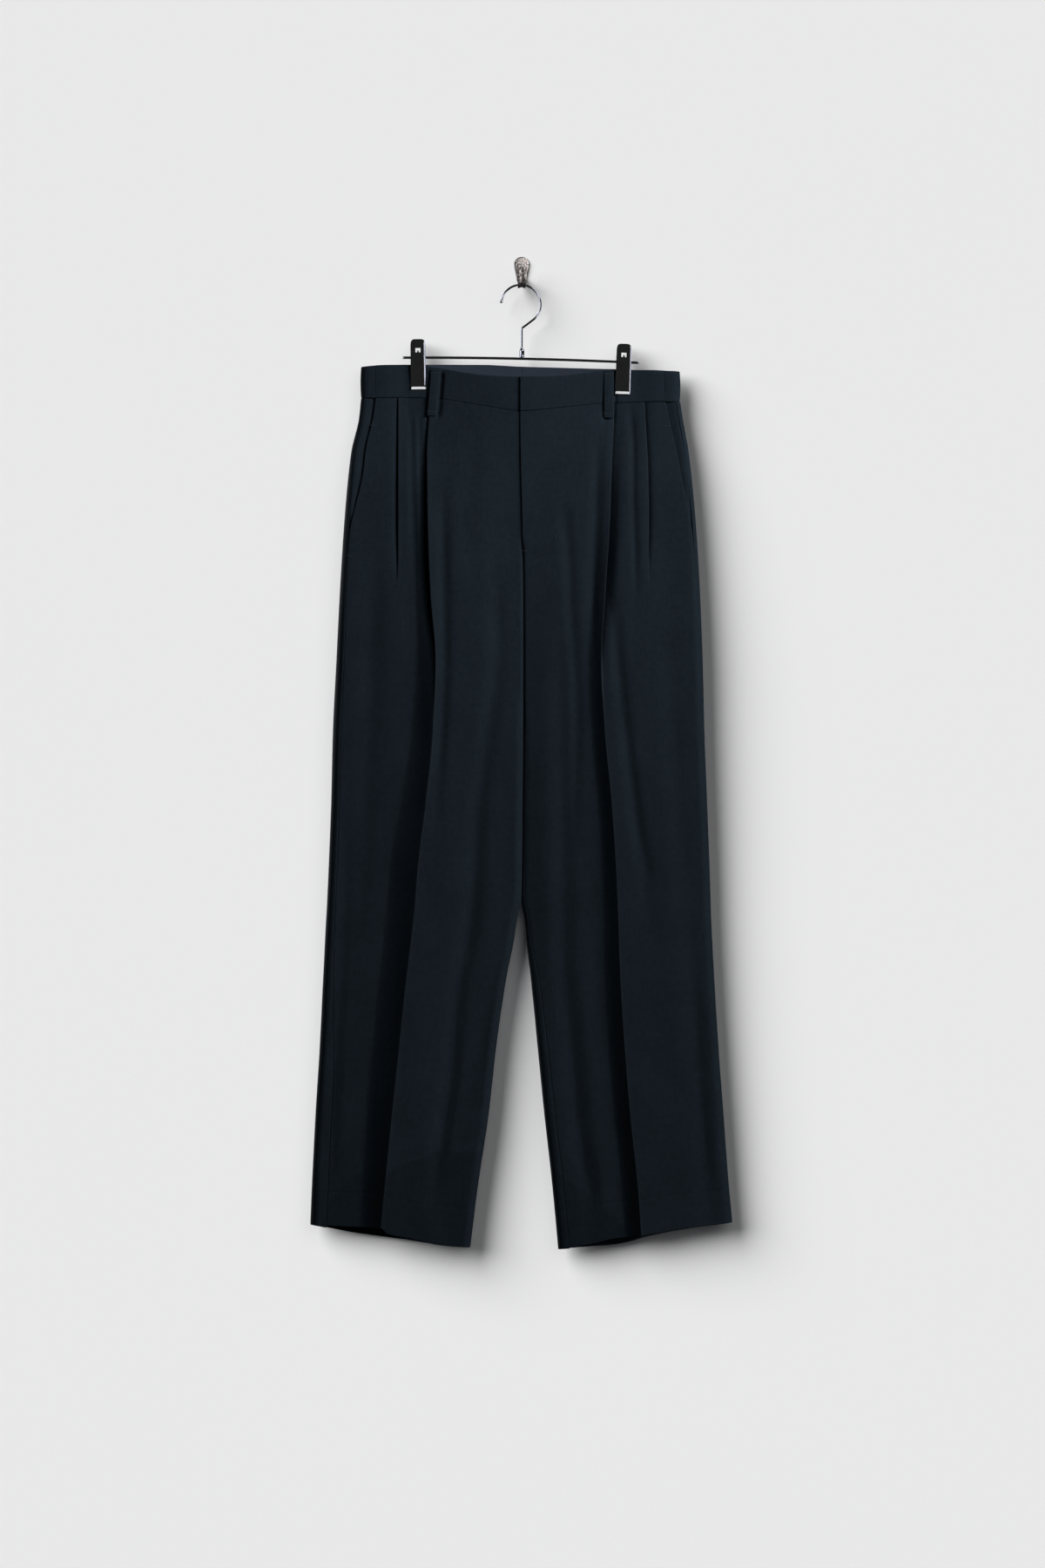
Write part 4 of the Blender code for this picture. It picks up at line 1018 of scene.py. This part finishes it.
# bar tacks on the front: leg, and the places of their stitches
flyTacks = [("left", [(x, 225.3) for x in (0.6, 2.6, 4.6, 6.8)]),
            ("left", [(40.8, drop) for drop in (204.5, 207.0, 209.5, 212.0)])]
pocketTacks = [("right", [(x, 72.6) for x in (-184.0, -181.5, -179.0, -176.5)]),
               ("right", [(x, 231.5) for x in (-213.0, -211.0, -209.0, -207.0)]),
               ("left", [(x, 73.7) for x in (174.5, 177.0, 179.5, 182.0)]),
               ("left", [(x, 232.7) for x in (203.5, 205.5, 207.5, 209.5)])]
frontLines = [[onFront(leg, x, drop) for x, drop in spots] for leg, spots in flyTacks + pocketTacks]
makeStitches("tacks_front", frontLines, -1.0, stitches)
for face, label in ((1, "front"), (-1, "back")):
    ends = []
    for name, side, *rest in beltLoops["places"]:
        if side == face:
            skin = loopSkins[name]
            for row in (5, skin.shape[0] - 7):
                ends.append([tuple(skin[row, c] + (0, face * tacks["sunk"], 0)) for c in (1, 4, 6, 9)])
    makeStitches("tacks_loops_" + label, ends, -float(face), stitches)
print("stitches made")


hanger = {
    "rodRadius": 1.6,
    "rodBow": 1.9,
    "wireRadius": 1.3,
    "hookRadius": 24.0,
    "hookCentre": (-1.1, -40.3),
    "ferruleRadius": 3.2,
    "ballRadius": 1.95,
    "rodEnds": ((-145.2, -105.0), (143.1, -111.3)),
    "sides": 24,
    "hookSides": 20,
}
(rodX0, rodZ0), (rodX1, rodZ1) = hanger["rodEnds"]
rodTilt = -math.atan2(rodZ1 - rodZ0, rodX1 - rodX0)


def rodZ(x):
    # the rod leans a little and bows up in the middle
    share = (x - rodX0) / (rodX1 - rodX0)
    return mix(rodZ0, rodZ1, share) + 4 * hanger["rodBow"] * share * (1 - share)


def makeTube(name, path, radii, sides):
    # a closed round bar of chrome along a path that lies square to Y
    path = np.asarray(path, float)
    radii = np.asarray(radii, float)[:, None, None]
    tangent = np.gradient(path, axis=0)
    tangent /= np.linalg.norm(tangent, axis=1, keepdims=True)
    plane = np.array([0.0, 1.0, 0.0])
    across = np.cross(tangent, plane)
    across /= np.linalg.norm(across, axis=1, keepdims=True)
    a = np.arange(sides) * math.tau / sides
    ring = np.cos(a)[None, :, None] * across[:, None, :] + np.sin(a)[None, :, None] * plane
    rings = path[:, None, :] + radii * ring
    count = len(path)
    points = np.concatenate([rings.reshape(-1, 3), path[:1], path[-1:]])
    n = np.arange(count * sides).reshape(count, sides)
    m = np.roll(n, -1, axis=1)
    faces = np.stack([n[:-1], m[:-1], m[1:], n[1:]], axis=-1).reshape(-1, 4).tolist()
    faces += [(int(m[0, k]), int(n[0, k]), count * sides) for k in range(sides)]
    faces += [(int(n[-1, k]), int(m[-1, k]), count * sides + 1) for k in range(sides)]
    outward(keepMesh(name, points, faces, chrome, "chrome"))


def outward(made):
    # every shell of a closed mesh faces out
    shell = bmesh.new()
    shell.from_mesh(made.data)
    bmesh.ops.remove_doubles(shell, verts=shell.verts, dist=0.000001)
    bmesh.ops.recalc_face_normals(shell, faces=shell.faces)
    shell.to_mesh(made.data)
    shell.free()


def makeHanger():
    r = hanger["rodRadius"]
    cap = [(0.0, 0.35), (0.15, 0.75), (0.45, 1.15), (0.9, 1.45), (1.5, r)]
    length = rodX1 - rodX0
    spots = [d for d, _ in cap] + list(np.linspace(4, length - 4, 24)) + [length - d for d, _ in cap[::-1]]
    radii = [c for _, c in cap] + [r] * 24 + [c for _, c in cap[::-1]]
    path = [(rodX0 + s, midY, float(rodZ(rodX0 + s))) for s in spots]
    makeTube("hanger_rod", path, radii, hanger["sides"])

    seat = float(rodZ(0)) + r + trousers["seamGap"]
    top = seat + 11.0
    body = hanger["ferruleRadius"]
    profile = [(0, 2.7), (0.2, 3.0), (0.6, body), (1.6, body), (1.9, body - 0.25), (2.2, body), (3.5, body),
               (5.5, body), (7.4, body), (8.2, body - 0.06), (9.0, body - 0.35), (9.8, body - 0.85),
               (10.4, body - 1.15), (10.8, body - 1.3), (11.0, body - 1.55)]
    makeTube("hanger_ferrule", [(0, midY, seat + h) for h, _ in profile], [c for _, c in profile],
             hanger["sides"])

    cx, cz = hanger["hookCentre"]
    neck = table("t x z", [(0, 0, top + 0.3), (1, 0, -80), (2, 0, -70.6), (2.6, 0.45, -69.3),
                           (3.2, 1.5, -68.3), (4.2, 5.8, -65.1), (5.2, 10.8, -61.4)])
    turns = np.radians(np.linspace(-45, 167.5, 80))
    steps = np.linspace(0, 5.0, 44)
    path = [(float(read(neck, "x", s)), midY, float(read(neck, "z", s))) for s in steps]
    path += [(cx + hanger["hookRadius"] * math.cos(a), midY, cz + hanger["hookRadius"] * math.sin(a))
             for a in turns]
    radii = [hanger["wireRadius"]] * len(path)
    tipX, _, tipZ = path[-1]
    ball = hanger["ballRadius"]
    for ahead in np.linspace(0.15, 1.0, 10):
        turn = math.pi * (0.2 + 0.8 * ahead)
        reach = ball * (1 - math.cos(turn)) - 0.35
        path.append((tipX - reach * math.sin(turns[-1]), midY, tipZ + reach * math.cos(turns[-1])))
        radii.append(max(ball * math.sin(turn), 0.06))
    makeTube("hanger_hook", path, radii, hanger["hookSides"])


# a clip's jaw from its lip upwards: height, width, plate's and flange's distance from the middle
jaw = table("height width plate flange", [
    (0.0, 18.3, 2.90, 2.85), (0.4, 18.5, 2.97, 2.85), (1.2, 18.6, 3.35, 2.85), (2.0, 18.6, 3.73, 2.85),
    (2.8, 18.6, 4.11, 2.85), (3.6, 18.6, 4.47, 2.85), (4.4, 18.6, 4.64, 2.85), (12.0, 18.5, 5.1, 2.95),
    (31.5, 18.3, 6.7, 3.9),
    (36.0, 18.3, 7.1, -3.6), (40.0, 18.2, 7.4, -3.9), (44.0, 18.2, 7.8, -3.6), (50.0, 18.1, 8.4, 3.2),
    (55.0, 18.0, 9.0, 6.5), (57.4, 17.2, 9.25, 8.2), (58.8, 16.4, 9.35, 8.7), (59.9, 15.0, 9.4, 9.0),
    (60.8, 12.6, 9.4, 9.1), (61.3, 9.6, 9.3, 9.1)])
clips = {
    "wall": 1.2,
    "bore": 2.2,
    "windowWidth": 6.4,
    "windowHeight": 6.0,
    "tongueWidth": 2.4,
    "tongueHeight": 2.3,
    "chamferDepth": 0.84,         # of its width
    "windowMiddle": 48.2,
    "bevel": 0.28,
    "sharpAngle": 34.0,           # degrees above which an edge stays sharp
    "places": [("right", -126.2, 39.1, -0.012, 2.6), ("left", 124.2, 39.4, 0.034, 1.5)],
}


def loftShell(rings):
    # a closed shell over rings of points, in millimetres
    shell = bmesh.new()
    loops = [[shell.verts.new(tuple(c * mm for c in p)) for p in ring] for ring in rings]
    count = len(rings[0])
    for first, second in zip(loops, loops[1:]):
        for n in range(count):
            m = (n + 1) % count
            shell.faces.new((first[n], first[m], second[m], second[n]))
    shell.faces.new(loops[0])
    shell.faces.new(loops[-1])
    bmesh.ops.recalc_face_normals(shell, faces=shell.faces)
    return shell


def asObject(shell, name):
    mesh = bpy.data.meshes.new(name)
    shell.to_mesh(mesh)
    shell.free()
    return newObject(name, mesh)


def combine(made, operation, other):
    boolean = made.modifiers.new(operation, "BOOLEAN")
    boolean.operation = operation
    boolean.solver = "EXACT"
    boolean.object = other


def keepCut(made, name, place, others, material, slotName, sharp):
    # modifiers and a placing matrix go into the mesh, and the other objects go
    made.data.materials.append(material)
    evaluated = made.evaluated_get(bpy.context.evaluated_depsgraph_get())
    mesh = bpy.data.meshes.new_from_object(evaluated)
    made.modifiers.clear()
    made.data = mesh
    mesh.name = made.name
    mesh.transform(place)
    for other in others:
        bpy.data.objects.remove(other, do_unlink=True)
    mesh.shade_smooth()
    mesh.set_sharp_from_angle(angle=math.radians(sharp))
    pieces[name] = (made, slotName)


def makeJaw(name, x, rodHeight, lean, chamfer, face):
    narrow = 0.0 if face > 0 else 2 * (clips["wall"] + 0.4)
    heights = np.concatenate([[0, 0.35, 0.7, 1.3, 2.0, 2.7, 3.4, 4.2, 5.0], np.linspace(7, 54, 26),
                              [55.5, 57, 58.5, 59.4, 60.2, 60.8, 61.1, 61.3]])
    rings = []
    for height in heights:
        half = (float(read(jaw, "width", height)) - narrow) / 2
        plate = float(read(jaw, "plate", height))
        flange = min(float(read(jaw, "flange", height)), plate - 0.05)
        thin = min(clips["wall"], half / 2)
        out = plate + clips["wall"]
        cut = float(ease(2.6, 5.0, height))
        r = min(mix(0.5, chamfer, cut), half * 0.6)
        deep = min(clips["chamferDepth"] * r, out - flange - 0.15)
        corner = [(half - r - 0.7, out), (half - r, out), (half - 0.9 * r, out - 0.06 * deep),
                  (half - 0.1 * r, out - 0.88 * deep), (half, out - deep)]
        section = [(-w, t) for w, t in corner[::-1]] + corner
        turn = max(flange + 0.03, min(plate, out - deep - 0.35))
        section += [(half, flange), (half - thin, flange), (half - thin, turn), (half - r - 0.3, plate),
                    (-half + r + 0.3, plate), (-half + thin, turn), (-half + thin, flange), (-half, flange)]
        rings.append([(w, -face * t, height - rodHeight) for w, t in section])
    made = asObject(loftShell(rings), name)
    # a window with a short tongue standing up from its lower edge
    w, h = clips["windowWidth"] / 2, clips["windowHeight"] / 2
    tongue, tip = clips["tongueWidth"] / 2, clips["tongueHeight"] - h
    corners = [(-w, -h), (-tongue, -h), (-0.6 * tongue, tip), (0.6 * tongue, tip), (tongue, -h), (w, -h),
               (w, h), (-w, h)]
    middle = clips["windowMiddle"] - rodHeight
    rings = [[(x, y - face * 9, z + middle) for x, z in corners] for y in (-15, 15)]
    window = asObject(loftShell(rings), "windowCut")
    drill = bmesh.new()
    bmesh.ops.create_cone(drill, cap_ends=True, segments=32, radius1=clips["bore"] * mm,
                          radius2=clips["bore"] * mm, depth=30 * mm)
    bmesh.ops.rotate(drill, cent=(0, 0, 0), matrix=Matrix.Rotation(math.pi / 2 + rodTilt - lean, 3, "Y"),
                     verts=drill.verts)
    bore = asObject(drill, "boreCut")
    for cutter in (window, bore):
        combine(made, "DIFFERENCE", cutter)
    bevel = made.modifiers.new("soften", "BEVEL")
    bevel.width = clips["bevel"] * mm
    bevel.segments = 3
    bevel.limit_method = "ANGLE"
    bevel.angle_limit = math.radians(50)
    place = Matrix.Translation(Vector((x, midY, float(rodZ(x)))) * mm) @ Matrix.Rotation(lean, 4, "Y")
    keepCut(made, name, place, (window, bore), chrome, "chrome", clips["sharpAngle"])


spring = {"turns": 6.5, "coilRadius": 2.85, "wire": 0.55, "halfLength": 5.0, "resolution": 26}


def springTree():
    tree = newTree("clipSpring", {
        "Turns": spring["turns"], "Coil radius": spring["coilRadius"] * mm,
        "Wire radius": spring["wire"] * mm, "Length": 2 * spring["halfLength"] * mm})
    given = tree.nodes.new("NodeGroupInput").outputs
    coil = addNode(tree, "GeometryNodeCurveSpiral", {},
                   {"Resolution": spring["resolution"], "Rotations": given["Turns"],
                    "Start Radius": given["Coil radius"], "End Radius": given["Coil radius"],
                    "Height": given["Length"]})
    profile = addNode(tree, "GeometryNodeCurvePrimitiveCircle", {},
                      {"Resolution": 10, "Radius": given["Wire radius"]})
    wire = addNode(tree, "GeometryNodeCurveToMesh", {},
                   {"Curve": coil.outputs[0], "Profile Curve": profile.outputs[0], "Fill Caps": True})
    smooth = addNode(tree, "GeometryNodeSetShadeSmooth", {}, {"Geometry": wire.outputs[0]})
    finishTree(tree, smooth.outputs[0], chrome)
    return tree


def makeSpring(name, x, tree):
    made = newObject(name, bpy.data.meshes.new(name))
    grow(made, tree, {"Turns": spring["turns"]})
    place = Matrix.Translation(Vector((x, midY, float(rodZ(x)))) * mm)
    place = place @ Matrix.Rotation(math.pi / 2 + rodTilt, 4, "Y")
    place = place @ Matrix.Translation((0, 0, -spring["halfLength"] * mm))
    made.data.transform(place)
    outward(made)
    pieces[name] = (made, "chrome")


makeHanger()
coilTree = springTree()
for side, x, rodHeight, lean, chamfer in clips["places"]:
    makeJaw("clip_" + side + "_front", x, rodHeight, lean, chamfer, 1)
    makeJaw("clip_" + side + "_back", x, rodHeight, lean, chamfer, -1)
    makeSpring("clip_" + side + "_spring", x, coilTree)
print("hanger made")


wallHook = {
    "wideRadius": 9.2,
    "narrowRadius": 5.9,
    "wideZ": 9.8,
    "narrowZ": -8.3,
    "plateWall": 2.2,
    "prongWidth": 9.6,
    "prongWall": 2.0,
    "prongTurn": 9.0,
    "sharpAngle": 40.0,
}


def plateOutline(count, shrink):
    # two round ends, the lower one smaller, joined by straight sides
    wide = wallHook["wideRadius"] - shrink
    narrow = wallHook["narrowRadius"] - shrink
    high, low = wallHook["wideZ"], wallHook["narrowZ"]
    lean = math.asin((wide - narrow) / (high - low))
    upper = np.linspace(-lean, math.pi + lean, count)
    lower = np.linspace(math.pi + lean, math.tau - lean, count)
    points = [(wide * math.cos(a), high + wide * math.sin(a)) for a in upper]
    return points + [(narrow * math.cos(a), low + narrow * math.sin(a)) for a in lower]


def makeWallHook():
    # the plate's distance from the wall, and how much smaller it is there
    steps = [(0, 0.15), (0.12, 0.0), (0.9, 0.0), (1.3, 0.08), (1.65, 0.3), (1.9, 0.62), (2.08, 1.1),
             (wallHook["plateWall"], 1.9)]
    rings = [[(x, -y, z) for x, z in plateOutline(30, shrink)] for y, shrink in steps]
    plate = asObject(loftShell(rings), "wall_hook")
    reach = hanger["hookRadius"]
    sag = reach - math.sqrt(reach ** 2 - (wallHook["prongWidth"] / 2 - hanger["hookCentre"][0]) ** 2)
    wall = wallHook["prongWall"]
    low = hanger["hookCentre"][1] + reach - hanger["wireRadius"] - sag - trousers["seamGap"] - wall / 2
    turn = wallHook["prongTurn"]
    side = [(-1.0, -6.5), (-3.4, -7.6), (-6.0, -9.2), (-9.4, -10.6), (-13.0, low + 3.4)]
    side += [(midY - turn * math.sin(a), low + turn * (1 - math.cos(a)))
             for a in np.radians(np.arange(-40, 81, 8))]
    tip = midY - turn
    side += [(tip - 0.35, low + 11.0), (tip - 0.75, low + 14.0), (tip - 1.4, 1.5), (tip - 1.6, 3.4),
             (tip - 1.65, 4.4), (tip - 1.7, 5.0), (tip - 1.7, 5.3)]
    widths = [wallHook["prongWidth"]] * (len(side) - 4) + [8.8, 7.2, 5.2, 3.6]
    line = np.array(side)
    tangent = np.gradient(line, axis=0)
    tangent /= np.linalg.norm(tangent, axis=1, keepdims=True)
    # the prong's section: a groove between two rounded edges
    profile = [(-1, 0.35), (-1, -0.35), (-0.94, -0.75), (-0.8, -1), (-0.62, -0.96), (-0.44, -0.5),
               (-0.22, -0.12), (0, 0), (0.22, -0.12), (0.44, -0.5), (0.62, -0.96), (0.8, -1), (0.94, -0.75),
               (1, -0.35), (1, 0.35), (0.94, 0.75), (0.8, 1), (0, 1), (-0.8, 1), (-0.94, 0.75)]
    rings = []
    for (y, z), (ty, tz), width in zip(side, tangent, widths):
        out = Vector((0, tz, -ty)) * wall / 2
        rings.append([tuple(Vector((w * width / 2, y, z)) + out * t) for w, t in profile])
    prong = asObject(loftShell(rings), "prongJoin")
    combine(plate, "UNION", prong)
    keepCut(plate, "wall_hook", Matrix.Identity(4), (prong,), nickel, "nickel",
            wallHook["sharpAngle"])


makeWallHook()
print("wall hook made")


# each piece hides the frame's node of the same name and hangs from the root body
for name, (made, slotName) in pieces.items():
    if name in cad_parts:
        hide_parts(name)
    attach(made, "root")


studio = {
    "wallColour": (0.80, 0.80, 0.80, 1),
    "wallY": 0.5,
    "wallTop": 3000.0,
    "reach": 4000.0,              # of the wall and the floor to each side
    "floorZ": -1620.0,
    "floorNear": -5000.0,
    "floorFar": 3000.0,
    "cameraDistance": 12.0,
    "frameHeight": 1.908,
    "frameCentre": (0.001, -0.624),
    "ambientColour": (0.9, 0.95, 1.0, 1),
    "ambient": 0.024,
    "glossAmbient": 0.017,
    "backdrop": 0.815,
}


def stagePlane(name, corners):
    mesh = bpy.data.meshes.new(name)
    mesh.from_pydata([tuple(c * mm for c in p) for p in corners], [], [(0, 1, 2, 3)])
    finish = Finish(name + "Paint", {"Roughness": 0.9, "Specular IOR Level": 0.1})
    place = finish.add("ShaderNodeTexCoord", {}, {}, "Object")
    faint = finish.noise(place, 3.0, 2.0)
    darker = tuple(c * 0.995 for c in studio["wallColour"][:3]) + (1,)
    finish.feed("Base Color", finish.blend(faint, studio["wallColour"], darker))
    if name == "backWall":
        clear = finish.add("ShaderNodeBsdfTransparent", {}, {})
        behind = finish.add("ShaderNodeNewGeometry", {}, {}, "Backfacing")
        seen = finish.add("ShaderNodeMixShader", {}, {0: behind, 1: finish.shader.outputs[0], 2: clear})
        finish.tree.links.new(seen.socket, finish.tree.nodes["Material Output"].inputs["Surface"])
    mesh.materials.append(finish.material)
    made = newObject(name, mesh)
    made.visible_diffuse = False
    return made


y, z, reach = studio["wallY"], studio["floorZ"], studio["reach"]
top, near, far = studio["wallTop"], studio["floorNear"], studio["floorFar"]
backWall = stagePlane("backWall", [(-reach, y, z), (reach, y, z), (reach, y, top), (-reach, y, top)])
floor = stagePlane("floorPlane", [(-reach, near, z), (reach, near, z), (reach, far, z), (-reach, far, z)])
backWall.visible_shadow = False
backWall.visible_glossy = False
floor.visible_glossy = False

garment, clipSet, wires, hookOnly, stageOnly = [bpy.data.collections.new(name) for name in (
    "garment", "clipSet", "wires", "hookOnly", "stageOnly")]
for name, (made, slotName) in pieces.items():
    if slotName == "chrome":
        lit = clipSet if name.startswith("clip") else wires
    else:
        lit = garment if slotName == "cloth" else hookOnly
    lit.objects.link(made)
stageOnly.objects.link(backWall)
stageOnly.objects.link(floor)


def addLight(name, kind, place, aim, receivers, **settings):
    data = bpy.data.lights.new(name, kind)
    for key, value in settings.items():
        setattr(data, key, value)
    made = newObject(name, data)
    made.location = place
    made.rotation_euler = (Vector(aim) - Vector(place)).to_track_quat("-Z", "Y").to_euler()
    made.light_linking.receiver_collection = receivers


# suns: name, direction in which they shine, strength, angle, what they light
for name, aim, strength, angle, receivers in (
        ("wallSun", (27, 24, -20), 4.7, 50, stageOnly),
        ("wallFill", (-9, 24, -10), 0.45, 50, stageOnly),
        ("keySun", (-0.85, 0.44, -0.28), 1.3, 24, garment),
        ("rimSun", (0.80, -0.54, -0.25), 1.9, 20, garment)):
    aim = Vector(aim).normalized()
    addLight(name, "SUN", -aim * 3, (0, 0, 0), receivers, energy=strength, angle=math.radians(angle))

# panels: name, place, height they aim at, power, width and height, beam in degrees, colour, what they light
white = (1.0, 1.0, 1.0)
cool = (0.84, 0.86, 1.0)
for name, place, aimZ, power, (width, height), beam, colour, receivers in (
        ("keyPanel", (1.8, -1.5, 0.70), -0.12, 6.6, (0.7, 0.7), 70, white, garment),
        ("topPanel", (0.6, -1.0, 0.45), -0.30, 7.0, (0.6, 0.6), 180, white, garment),
        ("hemPanel", (0.9, -1.3, -1.90), -1.28, 0.40, (0.5, 0.5), 36, white, garment),
        ("backPanel", (-1.9, 1.7, 0.5), -0.5, 34.0, (1.0, 1.0), 180, white, garment),
        ("clipGlow", (-1.3, 2.2, 0.4), -0.2, 16.0, (1.4, 1.4), 180, white, clipSet),
        ("wireGlow", (-1.3, 2.2, 0.4), -0.2, 16.0, (1.4, 1.4), 180, white, wires),
        ("clipSide", (1.5, -0.35, -0.25), -0.13, 1.6, (0.35, 1.5), 180, cool, clipSet),
        ("clipLow", (0.0, -0.85, -1.15), -0.15, 1.3, (0.8, 0.6), 180, white, clipSet),
        ("wireUpRight", (1.05, -0.7, 0.75), -0.05, 6.0, (0.8, 0.8), 180, cool, wires),
        ("wireLeft", (-1.1, -0.9, -0.10), -0.08, 7.0, (1.5, 1.0), 180, cool, wires),
        ("wireLowRight", (1.1, -0.6, -0.65), -0.05, 3.0, (0.6, 0.5), 180, cool, wires),
        ("wireUpLeft", (-1.2, -0.6, 0.55), -0.05, 1.8, (0.5, 0.4), 180, cool, wires),
        ("hookPanel", (0.9, -1.5, 0.70), 0.0, 24.0, (0.8, 0.8), 180, white, hookOnly),
        ("hookEdge", (-1.0, -0.7, 0.60), 0.0, 4.0, (0.5, 0.5), 180, white, hookOnly)):
    addLight(name, "AREA", place, (0, 0, aimZ), receivers, energy=power, size=width, size_y=height,
             shape="RECTANGLE", spread=math.radians(beam), color=colour)

world = bpy.data.worlds.new("studioAir")
world.use_nodes = True
scene.world = world
air = world.node_tree
path = air.nodes.new("ShaderNodeLightPath")
dim = air.nodes["Background"]
dim.inputs["Color"].default_value = studio["ambientColour"]
dim.inputs["Strength"].default_value = studio["ambient"]
last = dim
for ray, strength in (("Is Glossy Ray", studio["glossAmbient"]), ("Is Camera Ray", studio["backdrop"])):
    other = addNode(air, "ShaderNodeBackground", {}, {"Color": (1, 1, 1, 1), "Strength": strength})
    last = addNode(air, "ShaderNodeMixShader", {},
                   {0: path.outputs[ray], 1: last.outputs[0], 2: other.outputs[0]})
air.links.new(last.outputs[0], air.nodes["World Output"].inputs["Surface"])

scene.view_settings.view_transform = "Standard"
scene.view_settings.look = "None"
camera = bpy.data.cameras.new("camera")
camera.sensor_width = 36.0
camera.lens = camera.sensor_width * studio["cameraDistance"] / studio["frameHeight"]
camera.clip_end = 30.0
viewer = newObject("camera", camera)
viewer.location = (studio["frameCentre"][0], -0.03 - studio["cameraDistance"], studio["frameCentre"][1])
viewer.rotation_euler = (math.pi / 2, 0, 0)
scene.camera = viewer
print("stage, lights and camera set")

total = sum(len(made.data.polygons) for made, _ in pieces.values())
print("pieces:", len(pieces), "faces:", total)
